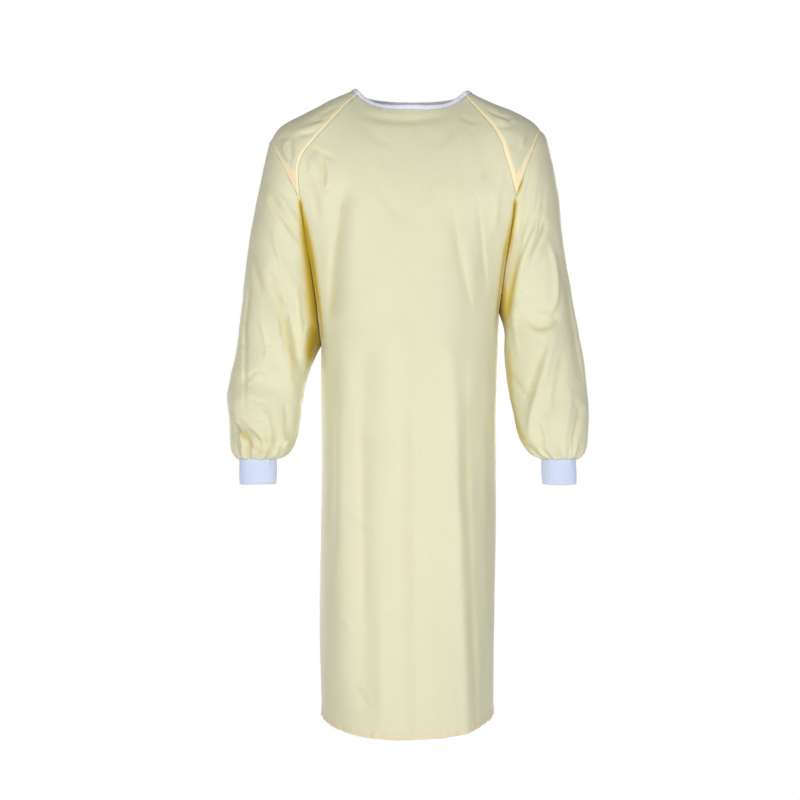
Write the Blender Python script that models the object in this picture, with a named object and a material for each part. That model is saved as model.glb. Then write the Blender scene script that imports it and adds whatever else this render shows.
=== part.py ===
# Long-sleeved protective gown with raglan shoulders, in its worn shape, open at the back.
# Metres, +Z up, the front faces -Y. The origin is in the middle of the neck, level with the
# top of the shoulders, where the wearer carries the gown.

import math
from collections import namedtuple

import bmesh
import bpy
import numpy as np
from mathutils import Vector

WALL = 0.0012            # cloth
HEM_WALL = 0.0022        # cloth doubled by the turned-up hem
HEM_DEPTH = 0.012
HEM_STEP = 0.0008        # height over which the wall goes from single to doubled
SEAM_GAP = 0.0003        # between neighbouring pieces
LAP_DROP = 0.0026        # how far the under back panel lies inside the upper one
LAP_NECK = 0.024         # half of the lap's width at the neck
LAP_HEM = 0.095          # half of the lap's width at the hem

FRONT_COLUMNS = 24
BACK_SIDE_COLUMNS = 8    # from a side seam to the lap
LAP_COLUMNS = 6
ARCH_COLUMNS = 28        # round a sleeve, and over a shoulder piece
RAGLAN_ROWS = 7
ARMHOLE_ROWS = 7
SKIRT_ROWS = 15          # below the armhole, without the hem's two rows
ARMHOLE_CROWDING = 1.5   # rows stand closer towards the underarm
COLUMN_SPREAD = math.radians(82)         # columns stand closer towards the side seams

SECTION_POWER = 2.2      # of the body's rounded section
ROUND_SECTION = 0.45     # its root where the body is a tube, below the armholes
NECK_DIP_POWER = 3.5     # how flat the middle of the neckline is
HEM_DIP_POWER = 3.0
NECK_DIP_SPREAD = 1.5    # how soon the neck's dip dies out towards the armpit
THINNEST_SLANT = 0.45    # limits the extra depth of a wall's edge in a tight crease
SHARPEST_CORNER = 0.35   # limits how far a corner of a piece is drawn in
FOLD_FACING = 1.8        # a fold fades where the cloth turns away from its view

GATHERS = 14             # at each cuff
UNEVEN_GATHERS = 0.35    # share by which some are deeper than others
CUFF_RIBS = 36
CUFF_LENGTH = 0.0435
CUFF_WALL = 0.0020
RIB_RELIEF = 0.0006
BINDING_HEIGHT = 0.009
SNAP_RADIUS = 0.0055
SNAP_TOP_SHARE = 0.8     # its top's radius, as a share
SNAP_HEIGHT = 0.0016
SNAP_SIDES = 20
SNAP_BELOW_NECK = 0.020

# Lines of each side, as (x outward, y, z): the two raglan seams from neck to armpit, the
# shoulder's top line, the armhole from there to the underarm, and the side seam.
LINES = {
    "right": {
        "sign": -1,
        "front_raglan": [(0.095, -0.032, -0.016), (0.120, -0.058, -0.045), (0.152, -0.078, -0.084),
                         (0.188, -0.088, -0.128), (0.199, -0.089, -0.155), (0.201, -0.086, -0.182),
                         (0.198, -0.078, -0.217)],
        "back_raglan": [(0.090, 0.040, -0.012), (0.120, 0.068, -0.045), (0.152, 0.088, -0.084),
                        (0.184, 0.100, -0.128), (0.197, 0.102, -0.172), (0.198, 0.096, -0.217)],
        "top": [(0.105, 0.005, -0.002), (0.145, 0.005, -0.020), (0.173, 0.005, -0.035),
                (0.203, 0.005, -0.050), (0.231, 0.004, -0.065), (0.247, 0.003, -0.079),
                (0.258, 0.002, -0.098)],
        "front_armhole": [(0.198, -0.078, -0.217), (0.191, -0.062, -0.270), (0.182, -0.047, -0.327),
                          (0.172, -0.034, -0.395), (0.167, -0.024, -0.440), (0.164, -0.007, -0.470),
                          (0.163, 0.012, -0.479)],
        "back_armhole": [(0.198, 0.096, -0.217), (0.192, 0.082, -0.270), (0.184, 0.068, -0.327),
                         (0.174, 0.056, -0.395), (0.168, 0.047, -0.440), (0.164, 0.031, -0.470),
                         (0.163, 0.012, -0.479)],
        "side": [(0.163, 0.012, -0.479), (0.164, 0.008, -0.560), (0.162, 0.008, -0.677),
                 (0.164, 0.008, -0.847), (0.166, 0.008, -0.998), (0.162, 0.008, -1.172)],
    },
    "left": {
        "sign": 1,
        "front_raglan": [(0.106, -0.032, -0.018), (0.132, -0.058, -0.053), (0.155, -0.078, -0.084),
                         (0.169, -0.088, -0.111), (0.178, -0.090, -0.141), (0.187, -0.088, -0.168),
                         (0.197, -0.080, -0.207)],
        "back_raglan": [(0.100, 0.040, -0.014), (0.128, 0.068, -0.050), (0.153, 0.088, -0.084),
                        (0.176, 0.100, -0.128), (0.190, 0.102, -0.168), (0.197, 0.096, -0.207)],
        "top": [(0.119, 0.005, -0.006), (0.143, 0.005, -0.018), (0.175, 0.005, -0.033),
                (0.195, 0.005, -0.040), (0.213, 0.004, -0.048), (0.235, 0.003, -0.062),
                (0.248, 0.002, -0.076)],
        "front_armhole": [(0.197, -0.080, -0.207), (0.193, -0.064, -0.250), (0.186, -0.048, -0.295),
                          (0.179, -0.034, -0.345), (0.175, -0.024, -0.380), (0.172, -0.007, -0.408),
                          (0.171, 0.012, -0.417)],
        "back_armhole": [(0.197, 0.096, -0.207), (0.193, 0.082, -0.250), (0.187, 0.068, -0.295),
                         (0.180, 0.056, -0.345), (0.175, 0.046, -0.380), (0.172, 0.031, -0.408),
                         (0.171, 0.012, -0.417)],
        "side": [(0.171, 0.012, -0.417), (0.169, 0.008, -0.500), (0.166, 0.008, -0.677),
                 (0.165, 0.008, -0.847), (0.162, 0.008, -0.998), (0.160, 0.008, -1.171)],
    },
}

# Depth of the body at its middle.
Depth = namedtuple("Depth", "level front back")
BODY_DEPTH = [Depth(*row) for row in (
    (-0.015, -0.060, 0.074),
    (-0.048, -0.068, 0.084),
    (-0.080, -0.083, 0.094),
    (-0.130, -0.100, 0.108),
    (-0.200, -0.112, 0.118),
    (-0.300, -0.118, 0.116),
    (-0.420, -0.122, 0.110),
    (-0.600, -0.126, 0.118),
    (-0.800, -0.132, 0.130),
    (-1.190, -0.142, 0.142),
)]

# How far the middle of a row hangs below its ends, at the neck and at the hem.
FRONT_NECK_DIP = 0.032
BACK_NECK_DIP = 0.005
FRONT_HEM_DIP = 0.018
BACK_HEM_DIP = 0.006

# Sleeve from the shoulder to the underarm: outer line, as (x outward, z); y goes evenly.
OUTER_LINE = {
    "right": [(0.259, -0.096), (0.280, -0.188), (0.299, -0.291), (0.313, -0.405), (0.322, -0.479)],
    "left": [(0.248, -0.076), (0.262, -0.098), (0.282, -0.188), (0.294, -0.291), (0.315, -0.417)],
}
OUTER_LINE_Y = (0.002, 0.008)            # at the line's start and end
UPPER_HALF_DEPTH = (0.088, 0.068)        # at the cross seam and at the underarm
CLOSING_POWER = 0.7      # how soon the rows above the underarm close to a ring
PULLED_SHARE = 0.30      # of a sleeve row, at each end, that bends to meet the armhole

# Sleeve below the underarm; inner and outer are x outward, middle is y.
Ring = namedtuple("Ring", "level inner outer middle half_depth gather")
LOWER_SLEEVE = {
    "right": [Ring(*row) for row in (
        (-0.479, 0.163, 0.322, 0.008, 0.068, 0.0),
        (-0.513, 0.179, 0.328, 0.004, 0.067, 0.0),
        (-0.545, 0.190, 0.335, -0.003, 0.065, 0.0),
        (-0.580, 0.196, 0.339, -0.012, 0.062, 0.0),
        (-0.615, 0.200, 0.334, -0.022, 0.059, 0.0),
        (-0.645, 0.205, 0.331, -0.030, 0.055, 0.0012),
        (-0.664, 0.211, 0.329, -0.035, 0.050, 0.0022),
        (-0.678, 0.218, 0.326, -0.039, 0.044, 0.0028),
        (-0.688, 0.228, 0.320, -0.042, 0.036, 0.0024),
        (-0.694, 0.244, 0.312, -0.044, 0.027, 0.0006),
    )],
    "left": [Ring(*row) for row in (
        (-0.417, 0.171, 0.315, 0.008, 0.068, 0.0),
        (-0.450, 0.181, 0.321, 0.004, 0.067, 0.0),
        (-0.495, 0.181, 0.328, -0.004, 0.066, 0.0),
        (-0.540, 0.184, 0.333, -0.014, 0.063, 0.0),
        (-0.585, 0.191, 0.336, -0.024, 0.060, 0.0),
        (-0.625, 0.199, 0.336, -0.036, 0.056, 0.0),
        (-0.652, 0.206, 0.333, -0.043, 0.051, 0.0016),
        (-0.672, 0.215, 0.329, -0.049, 0.045, 0.0028),
        (-0.686, 0.227, 0.321, -0.053, 0.037, 0.0026),
        (-0.694, 0.246, 0.309, -0.056, 0.027, 0.0006),
    )],
}
CUFF_DRIFT = (-0.001, -0.009)            # how far the cuff's end moves in x (outward) and in y
CUFF_SWELL = ((0.0, 0.0), (0.5, 0.0006), (1.0, -0.0004))     # share of its length, swell

# Largest folds; start and end are (x, z), and a rise below zero is a trough.
Fold = namedtuple("Fold", "view start end half_width rise")
FOLDS = [Fold(*row) for row in (
    ("front", (-0.124, -0.220), (-0.141, -0.393), 0.024, -0.0060),
    ("front", (-0.098, -0.240), (-0.112, -0.420), 0.024, 0.0030),
    ("front", (0.096, -0.260), (0.124, -0.470), 0.030, -0.0050),
    ("front", (0.142, -0.240), (0.150, -0.400), 0.022, -0.0040),
    ("front", (-0.143, -0.540), (-0.146, -0.840), 0.022, -0.0050),
    ("front", (-0.118, -0.480), (-0.122, -1.080), 0.024, 0.0045),
    ("front", (-0.083, -0.520), (-0.078, -1.120), 0.022, -0.0030),
    ("front", (-0.020, -0.480), (-0.022, -1.180), 0.034, 0.0040),
    ("front", (0.018, -0.600), (0.024, -1.180), 0.022, -0.0030),
    ("front", (0.076, -0.500), (0.108, -1.180), 0.026, 0.0050),
    ("front", (0.132, -0.600), (0.138, -1.180), 0.024, -0.0055),
    ("back", (-0.118, -0.240), (-0.138, -0.640), 0.024, -0.0060),
    ("back", (-0.096, -0.420), (-0.112, -1.180), 0.030, 0.0060),
    ("back", (0.122, -0.230), (0.136, -0.600), 0.024, -0.0060),
    ("back", (0.100, -0.460), (0.118, -1.180), 0.030, 0.0060),
    ("back", (0.010, -0.300), (-0.012, -1.180), 0.040, 0.0040),
    ("back", (-0.052, -0.520), (-0.064, -1.180), 0.026, -0.0050),
    ("back", (0.050, -0.500), (0.062, -1.180), 0.026, -0.0050),
    ("front", (-0.256, -0.215), (-0.200, -0.300), 0.018, 0.0035),
    ("front", (-0.252, -0.340), (-0.225, -0.430), 0.018, 0.0030),
    ("front", (-0.238, -0.412), (-0.212, -0.560), 0.018, 0.0040),
    ("front", (-0.305, -0.546), (-0.245, -0.560), 0.016, -0.0040),
    ("front", (-0.318, -0.590), (-0.276, -0.668), 0.018, 0.0035),
    ("front", (0.246, -0.250), (0.194, -0.380), 0.018, 0.0040),
    ("front", (0.270, -0.285), (0.218, -0.384), 0.016, -0.0035),
    ("front", (0.220, -0.425), (0.268, -0.436), 0.018, -0.0045),
    ("front", (0.270, -0.445), (0.219, -0.655), 0.020, 0.0050),
    ("front", (0.300, -0.330), (0.318, -0.560), 0.018, -0.0030),
    ("back", (-0.262, -0.240), (-0.215, -0.420), 0.020, 0.0045),
    ("back", (-0.290, -0.480), (-0.225, -0.560), 0.020, -0.0045),
    ("back", (-0.300, -0.570), (-0.262, -0.665), 0.018, 0.0040),
    ("back", (0.262, -0.230), (0.212, -0.400), 0.020, 0.0045),
    ("back", (0.292, -0.470), (0.222, -0.540), 0.020, -0.0045),
    ("back", (0.304, -0.560), (0.258, -0.665), 0.018, 0.0040),
)]
VIEW = {"front": np.array([0.0, -1.0, 0.0]), "back": np.array([0.0, 1.0, 0.0])}

CLOTH = (0.80, 0.74, 0.50)
RIB_KNIT = (0.70, 0.76, 0.88)
TAPE = (0.80, 0.82, 0.90)
SNAP_FINISH = (0.82, 0.82, 0.80)


def make_material(name, colour, roughness, metallic=0.0):
    material = bpy.data.materials.new(name)
    material.use_nodes = True
    shader = material.node_tree.nodes["Principled BSDF"]
    shader.inputs["Base Color"].default_value = (*colour, 1.0)
    shader.inputs["Roughness"].default_value = roughness
    shader.inputs["Metallic"].default_value = metallic
    return material


def smooth_line(points, count, crowding=1.0):
    """Points on a smooth curve through the given ones, evenly spaced or crowded to its end."""
    knots = np.array(points, float)
    knots = np.vstack([2 * knots[0] - knots[1], knots, 2 * knots[-1] - knots[-2]])
    fine = []
    for a, b, c, d in zip(knots, knots[1:], knots[2:], knots[3:]):
        for t in np.linspace(0, 1, 16, endpoint=False):
            fine.append(0.5 * (2 * b + (c - a) * t + (2 * a - 5 * b + 4 * c - d) * t ** 2
                               + (3 * b - a - 3 * c + d) * t ** 3))
    fine.append(knots[-2])
    fine = np.array(fine)
    steps = np.linalg.norm(np.diff(fine, axis=0), axis=1)
    run = np.concatenate([[0], np.cumsum(steps)])
    wanted = run[-1] * (1 - np.linspace(1, 0, count) ** crowding)
    return np.column_stack([np.interp(wanted, run, axis) for axis in fine.T])


def side_line(side, name, count, crowding=1.0):
    line = smooth_line(LINES[side][name], count, crowding)
    line[:, 0] *= LINES[side]["sign"]
    return line


def body_edge(side, face):
    """One long edge of the body's front or back, from the neck to the hem."""
    raglan = side_line(side, face + "_raglan", RAGLAN_ROWS + 1)
    armhole = side_line(side, face + "_armhole", ARMHOLE_ROWS + 1, ARMHOLE_CROWDING)
    seam = side_line(side, "side", SKIRT_ROWS + 1)
    fold = seam[-1] + np.array([0, 0, HEM_DEPTH])
    step = seam[-1] + np.array([0, 0, HEM_DEPTH - HEM_STEP])
    return np.vstack([raglan, armhole[1:], seam[1:-1], fold, step, seam[-1:]])


def row_kind(row):
    """How round a body row is, from 0 (gentle) at the neck to 1 below the armhole."""
    below_raglan = (row - RAGLAN_ROWS) / ARMHOLE_ROWS
    return min(max(below_raglan, 0.0), 1.0)


def row_dip(row, rows, neck_dip, hem_dip):
    to_armpit = min(row / RAGLAN_ROWS, 1.0)
    to_hem = max((row - RAGLAN_ROWS - ARMHOLE_ROWS) / (rows - 1 - RAGLAN_ROWS - ARMHOLE_ROWS), 0.0)
    return neck_dip * (1 - to_armpit) ** NECK_DIP_SPREAD + hem_dip * to_hem ** 2


def across(place, start, end, middle, roundness):
    """Points of one body row at the given places, from -1 to 1, between its two ends."""
    s = np.sin(COLUMN_SPREAD * place) / math.sin(COLUMN_SPREAD)
    straight = start + (end - start) * ((s + 1) / 2)[:, None]
    centre = (start + end) / 2
    bulge = (1 - np.abs(s) ** SECTION_POWER) ** np.interp(roundness, (0, 1), (1, ROUND_SECTION))
    hang = 1 - np.abs(s) ** np.interp(roundness, (0, 1), (NECK_DIP_POWER, HEM_DIP_POWER))
    points = straight.copy()
    points[:, 1] += bulge * (middle[0] - centre[1])
    points[:, 2] += hang * (middle[1] - centre[2])
    return points


def body_grid(face):
    """Rows from the neck to the hem, each from the right side to the left side."""
    right = body_edge("right", face)
    left = body_edge("left", face)
    dips = (FRONT_NECK_DIP, FRONT_HEM_DIP) if face == "front" else (BACK_NECK_DIP, BACK_HEM_DIP)
    levels = [row.level for row in reversed(BODY_DEPTH)]
    depths = [getattr(row, face) for row in reversed(BODY_DEPTH)]
    rows = len(right)
    grid = []
    for row in range(rows):
        level = (right[row, 2] + left[row, 2]) / 2 - row_dip(row, rows, *dips)
        middle = (np.interp(level, levels, depths), level)
        roundness = row_kind(row)
        if face == "front":
            place = np.linspace(-1, 1, FRONT_COLUMNS + 1)
        else:
            lap = np.interp(row / (rows - 1), (0, 1), (LAP_NECK, LAP_HEM))
            share = 2 * lap / (left[row, 0] - right[row, 0])
            edge = math.asin(share * math.sin(COLUMN_SPREAD)) / COLUMN_SPREAD
            place = np.concatenate([np.linspace(-1, -edge, BACK_SIDE_COLUMNS + 1),
                                    np.linspace(-edge, edge, LAP_COLUMNS + 1)[1:],
                                    np.linspace(edge, 1, BACK_SIDE_COLUMNS + 1)[1:]])
        grid.append(across(place, right[row], left[row], middle, roundness))
    return np.array(grid)


def half_arch(front, top, back):
    """An arch from a front point over a top point to a back point."""
    angle = np.linspace(-math.pi / 2, math.pi / 2, ARCH_COLUMNS + 1)[:, None]
    centre = (front + back) / 2
    return centre + (top - centre) * np.cos(angle) + (back - front) / 2 * np.sin(angle)


def shoulder_grid(side):
    front = side_line(side, "front_raglan", RAGLAN_ROWS + 1)
    back = side_line(side, "back_raglan", RAGLAN_ROWS + 1)
    top = side_line(side, "top", RAGLAN_ROWS + 1)
    return np.array([half_arch(*row) for row in zip(front, top, back)])


def open_ring(front, outer, back, half_depth, closing):
    """A sleeve row that ends on the armhole; closing is 0 for half a ring, 1 for a whole one."""
    lean = closing * math.pi / 2
    angle = np.linspace(-math.pi / 2 - lean, math.pi / 2 + lean, ARCH_COLUMNS + 1)[:, None]
    end_middle = (front + back) / 2
    reach = (outer - end_middle) / (1 + math.sin(lean))
    centre = outer - reach
    ring = centre + reach * np.cos(angle) + np.array([0, half_depth, 0]) * np.sin(angle)
    place = np.linspace(0, 1, ARCH_COLUMNS + 1)[:, None]
    near_front = np.clip(1 - place / PULLED_SHARE, 0, 1) ** 2
    near_back = np.clip(1 - (1 - place) / PULLED_SHARE, 0, 1) ** 2
    return ring + (front - ring[0]) * near_front + (back - ring[-1]) * near_back


def sleeve_grid(side):
    sign = LINES[side]["sign"]
    front = side_line(side, "front_armhole", ARMHOLE_ROWS + 1, ARMHOLE_CROWDING)
    back = side_line(side, "back_armhole", ARMHOLE_ROWS + 1, ARMHOLE_CROWDING)
    outline = np.insert(np.array(OUTER_LINE[side]), 1, np.linspace(*OUTER_LINE_Y, 5), axis=1)
    outer = smooth_line(outline, ARMHOLE_ROWS + 1, ARMHOLE_CROWDING)
    outer[:, 0] *= sign
    rows = [half_arch(front[0], side_line(side, "top", 2)[-1], back[0])]
    for row in range(1, ARMHOLE_ROWS):
        part = row / ARMHOLE_ROWS
        half_depth = np.interp(part, (0, 1), UPPER_HALF_DEPTH)
        rows.append(open_ring(front[row], outer[row], back[row], half_depth, part ** CLOSING_POWER))
    angle = np.linspace(-math.pi, math.pi, ARCH_COLUMNS + 1)
    gather = np.cos(angle * GATHERS) * (1 + UNEVEN_GATHERS * np.sin(3 * angle + sign))
    for ring in LOWER_SLEEVE[side]:
        half_width = (ring.outer - ring.inner) / 2
        swell = 1 + ring.gather * gather / half_width
        x = sign * ((ring.inner + ring.outer) / 2 + half_width * np.cos(angle) * swell)
        y = ring.middle + ring.half_depth * np.sin(angle) * swell
        if ring is LOWER_SLEEVE[side][0]:
            pinch = np.clip(1 - (1 - np.abs(angle) / math.pi) / PULLED_SHARE, 0, 1) ** 2
            y = y + pinch * (front[-1, 1] - ring.middle)
        rows.append(np.column_stack([x, y, np.full(len(x), ring.level)]))
    grid = np.array(rows)
    grid[ARMHOLE_ROWS, 0] = front[-1]
    grid[ARMHOLE_ROWS:, -1] = grid[ARMHOLE_ROWS:, 0]
    return grid


def corner_key(point):
    return tuple(np.round(point, 6))


def quad_normals(grid, flip):
    normal = np.cross(grid[1:, 1:] - grid[:-1, :-1], grid[:-1, 1:] - grid[1:, :-1])
    return -normal if flip else normal


def unit(vectors):
    return vectors / np.maximum(np.linalg.norm(vectors, axis=-1, keepdims=True), 1e-12)


def skin_normals(grids, flips, fixed):
    """Unit normals at the points of every grid; a seam's points take the mean of its sides."""
    totals = {}
    for name, grid in grids.items():
        quads = quad_normals(grid, flips[name])
        own = np.zeros_like(grid)
        for rows, columns in np.ndindex(2, 2):
            own[rows:len(grid) - 1 + rows, columns:grid.shape[1] - 1 + columns] += quads
        for point, normal in zip(grid.reshape(-1, 3), unit(own).reshape(-1, 3)):
            key = corner_key(point)
            totals[key] = totals.get(key, 0) + normal
    for point, normal in fixed:
        totals[corner_key(point)] = normal
    return {name: unit(np.array([[totals[corner_key(point)] for point in row] for row in grid]))
            for name, grid in grids.items()}


def fold_height(points, normals):
    """How far each point is pushed out or in by the folds that it lies on."""
    height = np.zeros(points.shape[:2])
    flat = points[:, :, [0, 2]]
    for view, start, end, half_width, rise in FOLDS:
        start = np.array(start)
        run = np.array(end) - start
        along = np.clip(((flat - start) @ run) / (run @ run), 0, 1)
        off = np.linalg.norm(flat - start - along[..., None] * run, axis=2)
        facing = np.clip((normals @ VIEW[view]) * FOLD_FACING, 0, 1)
        height += rise * np.exp(-(off / half_width) ** 2) * facing
    return height


def make_object(name, vertices, faces, material):
    mesh = bpy.data.meshes.new(name)
    mesh.from_pydata([tuple(v) for v in vertices], [], faces)
    mesh.materials.append(material)
    mesh.shade_smooth()
    thing = bpy.data.objects.new(name, mesh)
    bpy.context.scene.collection.objects.link(thing)
    return thing


def grid_triangles(grid, index, flip):
    """Two triangles for each grid cell, split along its shorter diagonal."""
    triangles = []
    for i in range(grid.shape[0] - 1):
        for j in range(grid.shape[1] - 1):
            a, b, c, d = index[i, j], index[i + 1, j], index[i + 1, j + 1], index[i, j + 1]
            first = np.linalg.norm(grid[i, j] - grid[i + 1, j + 1])
            second = np.linalg.norm(grid[i + 1, j] - grid[i, j + 1])
            pair = [(a, b, c), (a, c, d)] if first <= second else [(a, b, d), (b, c, d)]
            triangles += [t[::-1] for t in pair] if flip else pair
    return triangles


def rim_of(triangles):
    """The directed edges that only one triangle uses."""
    edges = {(t[k], t[(k + 1) % 3]) for t in triangles for k in range(3)}
    return [edge for edge in edges if edge[::-1] not in edges]


def drawn_in(vertices, normals, triangles, distance):
    """The vertices with the rim moved into the sheet, so that neighbours stay apart."""
    pulls = {}
    centres = {}
    for t in triangles:
        for k in range(3):
            centres[(t[k], t[(k + 1) % 3])] = vertices[list(t)].mean(axis=0)
    for a, b in rim_of(triangles):
        edge = unit(vertices[b] - vertices[a])
        for end in (a, b):
            inward = centres[(a, b)] - vertices[a]
            inward = inward - edge * (inward @ edge) - normals[end] * (inward @ normals[end])
            pulls.setdefault(end, []).append(unit(inward))
    moved = vertices.copy()
    for vertex, (first, second) in pulls.items():
        moved[vertex] += distance * (first + second) / max(1 + first @ second, SHARPEST_CORNER)
    return moved


def make_wall(name, grid, normals, walls, material, flip, closed_from=None):
    """A closed cloth wall whose outer face is the grid; it closes on itself from that row."""
    count = grid.shape[0] * grid.shape[1]
    index = np.arange(count).reshape(grid.shape[:2])
    if closed_from is not None:
        index[closed_from:, -1] = index[closed_from:, 0]
    vertices = grid.reshape(count, 3)
    directions = normals.reshape(count, 3)
    thickness = np.repeat(walls, grid.shape[1])
    triangles = grid_triangles(grid, index, flip)
    own = np.zeros((count, 3))
    for t in triangles:
        face = np.cross(vertices[t[1]] - vertices[t[0]], vertices[t[2]] - vertices[t[0]])
        for corner in t:
            own[corner] += face
    slant = np.maximum(np.sum(unit(own) * directions, axis=1), THINNEST_SLANT)
    outer = drawn_in(vertices, directions, triangles, SEAM_GAP / 2)
    inner = outer - directions * (thickness / slant)[:, None]
    used = sorted({corner for t in triangles for corner in t})
    place = {old: new for new, old in enumerate(used)}
    shift = len(used)
    faces = [tuple(place[c] for c in t) for t in triangles]
    faces += [tuple(place[c] + shift for c in t[::-1]) for t in triangles]
    for a, b in rim_of(triangles):
        near, far = place[a], place[b]
        if np.linalg.norm(outer[b] - inner[a]) < np.linalg.norm(outer[a] - inner[b]):
            faces += [(far, near, near + shift), (far, near + shift, far + shift)]
        else:
            faces += [(far, near, far + shift), (near, near + shift, far + shift)]
    return make_object(name, np.vstack([outer[used], inner[used]]), faces, material)


def body_walls():
    """The wall's thickness at each body row: doubled in the hem."""
    plain = RAGLAN_ROWS + ARMHOLE_ROWS + SKIRT_ROWS
    return np.array([WALL] * (plain + 1) + [HEM_WALL] * 2)


def build_backs(grid, normals, material):
    """Two back panels; the right one lies under the left one across the lap."""
    lap_start = BACK_SIDE_COLUMNS
    lap_end = BACK_SIDE_COLUMNS + LAP_COLUMNS
    drop = np.zeros(grid.shape[1])
    drop[lap_start:lap_end + 1] = LAP_DROP
    under = grid - normals * drop[None, :, None]
    right, left = under[:, :lap_end + 1], grid[:, lap_start:]
    make_wall("back_right", right, normals[:, :lap_end + 1], body_walls(), material, True)
    make_wall("back_left", left, normals[:, lap_start:], body_walls(), material, True)
    return right, left


def build_cuff(side, material):
    """A rib-knit tube that carries on from the sleeve's gathered end."""
    sign = LINES[side]["sign"]
    end = LOWER_SLEEVE[side][-1]
    half_width = (end.outer - end.inner) / 2
    points = CUFF_RIBS * 2
    angle = np.arange(points) * 2 * math.pi / points
    relief = np.where(np.arange(points) % 2, 0.0, -RIB_RELIEF)
    rings = []
    for depth_share, swell in CUFF_SWELL:
        centre_x = (end.inner + end.outer) / 2 + CUFF_DRIFT[0] * depth_share
        centre_y = end.middle + CUFF_DRIFT[1] * depth_share
        z = end.level - SEAM_GAP - (CUFF_LENGTH - SEAM_GAP) * depth_share
        for offset in (relief + swell, np.full(points, swell - CUFF_WALL)):
            x = sign * (centre_x + (half_width + offset) * np.cos(angle))
            y = centre_y + (end.half_depth + offset) * np.sin(angle)
            rings.append(np.column_stack([x, y, np.full(points, z)]))
    order = [rings[0], rings[2], rings[4], rings[5], rings[3], rings[1]]
    faces = []
    for ring in range(len(order)):
        following = (ring + 1) % len(order)
        for k in range(points):
            after = (k + 1) % points
            quad = (ring * points + k, following * points + k,
                    following * points + after, ring * points + after)
            faces.append(quad if sign > 0 else quad[::-1])
    return make_object("cuff_" + side, np.vstack(order), faces, material)


# Section of the neck binding, as shares of its height and distances out of the skin.
BINDING_SECTION = [(0.0, 0.0004), (0.80, 0.0005), (1.0, -0.0005), (0.80, -0.0015), (0.0, -0.0014)]


def build_binding(path, normals, ups, material):
    """A folded tape that stands on the neck edge, from one back end to the other."""
    vertices = []
    for point, normal, up in zip(path, normals, ups):
        for share, out in BINDING_SECTION:
            vertices.append(point + up * (SEAM_GAP / 2 + share * BINDING_HEIGHT) + normal * out)
    size = len(BINDING_SECTION)
    faces = []
    for step in range(len(path) - 1):
        for k in range(size):
            after = (k + 1) % size
            faces.append((step * size + k, (step + 1) * size + k,
                          (step + 1) * size + after, step * size + after))
    faces.append(tuple(range(size)))
    faces.append(tuple((len(path) - 1) * size + k for k in range(size))[::-1])
    return make_object("neck_binding", vertices, faces, material)


def edge_ups(grid):
    """Unit directions that carry a grid's first row on, away from its second row."""
    up = grid[0] - grid[1]
    along = unit(np.gradient(grid[0], axis=0))
    return unit(up - along * np.sum(up * along, axis=1, keepdims=True))


def neck_line(runs):
    """Points, normals and upward directions along the neck, from runs that meet at corners."""
    points, normals, ups = [np.vstack(part) for part in zip(*runs)]
    keep = [0]
    for k in range(1, len(points)):
        if np.linalg.norm(points[k] - points[keep[-1]]) > 1e-6:
            keep.append(k)
    points, normals, ups = points[keep], normals[keep], ups[keep]
    for _ in range(3):
        ups[1:-1] = ups[:-2] + 2 * ups[1:-1] + ups[2:]
        ups = unit(ups)
    return points, normals, ups


def build_snap(grid, normals, material):
    """A plain press stud on the upper back panel, in the middle of the lap."""
    column = BACK_SIDE_COLUMNS + LAP_COLUMNS // 2
    run = np.linalg.norm(grid[1, column] - grid[0, column])
    share = SNAP_BELOW_NECK / run
    seat = grid[0, column] * (1 - share) + grid[1, column] * share
    normal = unit(normals[0, column] * (1 - share) + normals[1, column] * share)
    mesh = bpy.data.meshes.new("snap")
    shape = bmesh.new()
    bmesh.ops.create_cone(shape, cap_ends=True, segments=SNAP_SIDES, radius1=SNAP_RADIUS,
                          radius2=SNAP_RADIUS * SNAP_TOP_SHARE, depth=SNAP_HEIGHT)
    shape.to_mesh(mesh)
    shape.free()
    mesh.materials.append(material)
    snap = bpy.data.objects.new("snap", mesh)
    bpy.context.scene.collection.objects.link(snap)
    snap.location = seat + normal * (SNAP_HEIGHT / 2 + SEAM_GAP)
    snap.rotation_euler = Vector(normal).to_track_quat("Z", "Y").to_euler()
    return snap


def underarms(grids):
    """The two underarm points, where the skin faces straight down."""
    return [(grids["sleeve_" + side][ARMHOLE_ROWS, 0], np.array([0.0, 0.0, -1.0])) for side in LINES]


def gown_skin():
    """The outer skin's grids with their folds, its normals, and which grids turn the other way."""
    grids = {"front": body_grid("front"), "back": body_grid("back")}
    flips = {"front": False, "back": True}
    for side in LINES:
        grids["shoulder_" + side] = shoulder_grid(side)
        grids["sleeve_" + side] = sleeve_grid(side)
        flips["shoulder_" + side] = flips["sleeve_" + side] = side == "right"
    normals = skin_normals(grids, flips, underarms(grids))
    for name in grids:
        grids[name] = grids[name] + normals[name] * fold_height(grids[name], normals[name])[..., None]
    return grids, skin_normals(grids, flips, underarms(grids)), flips


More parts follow.
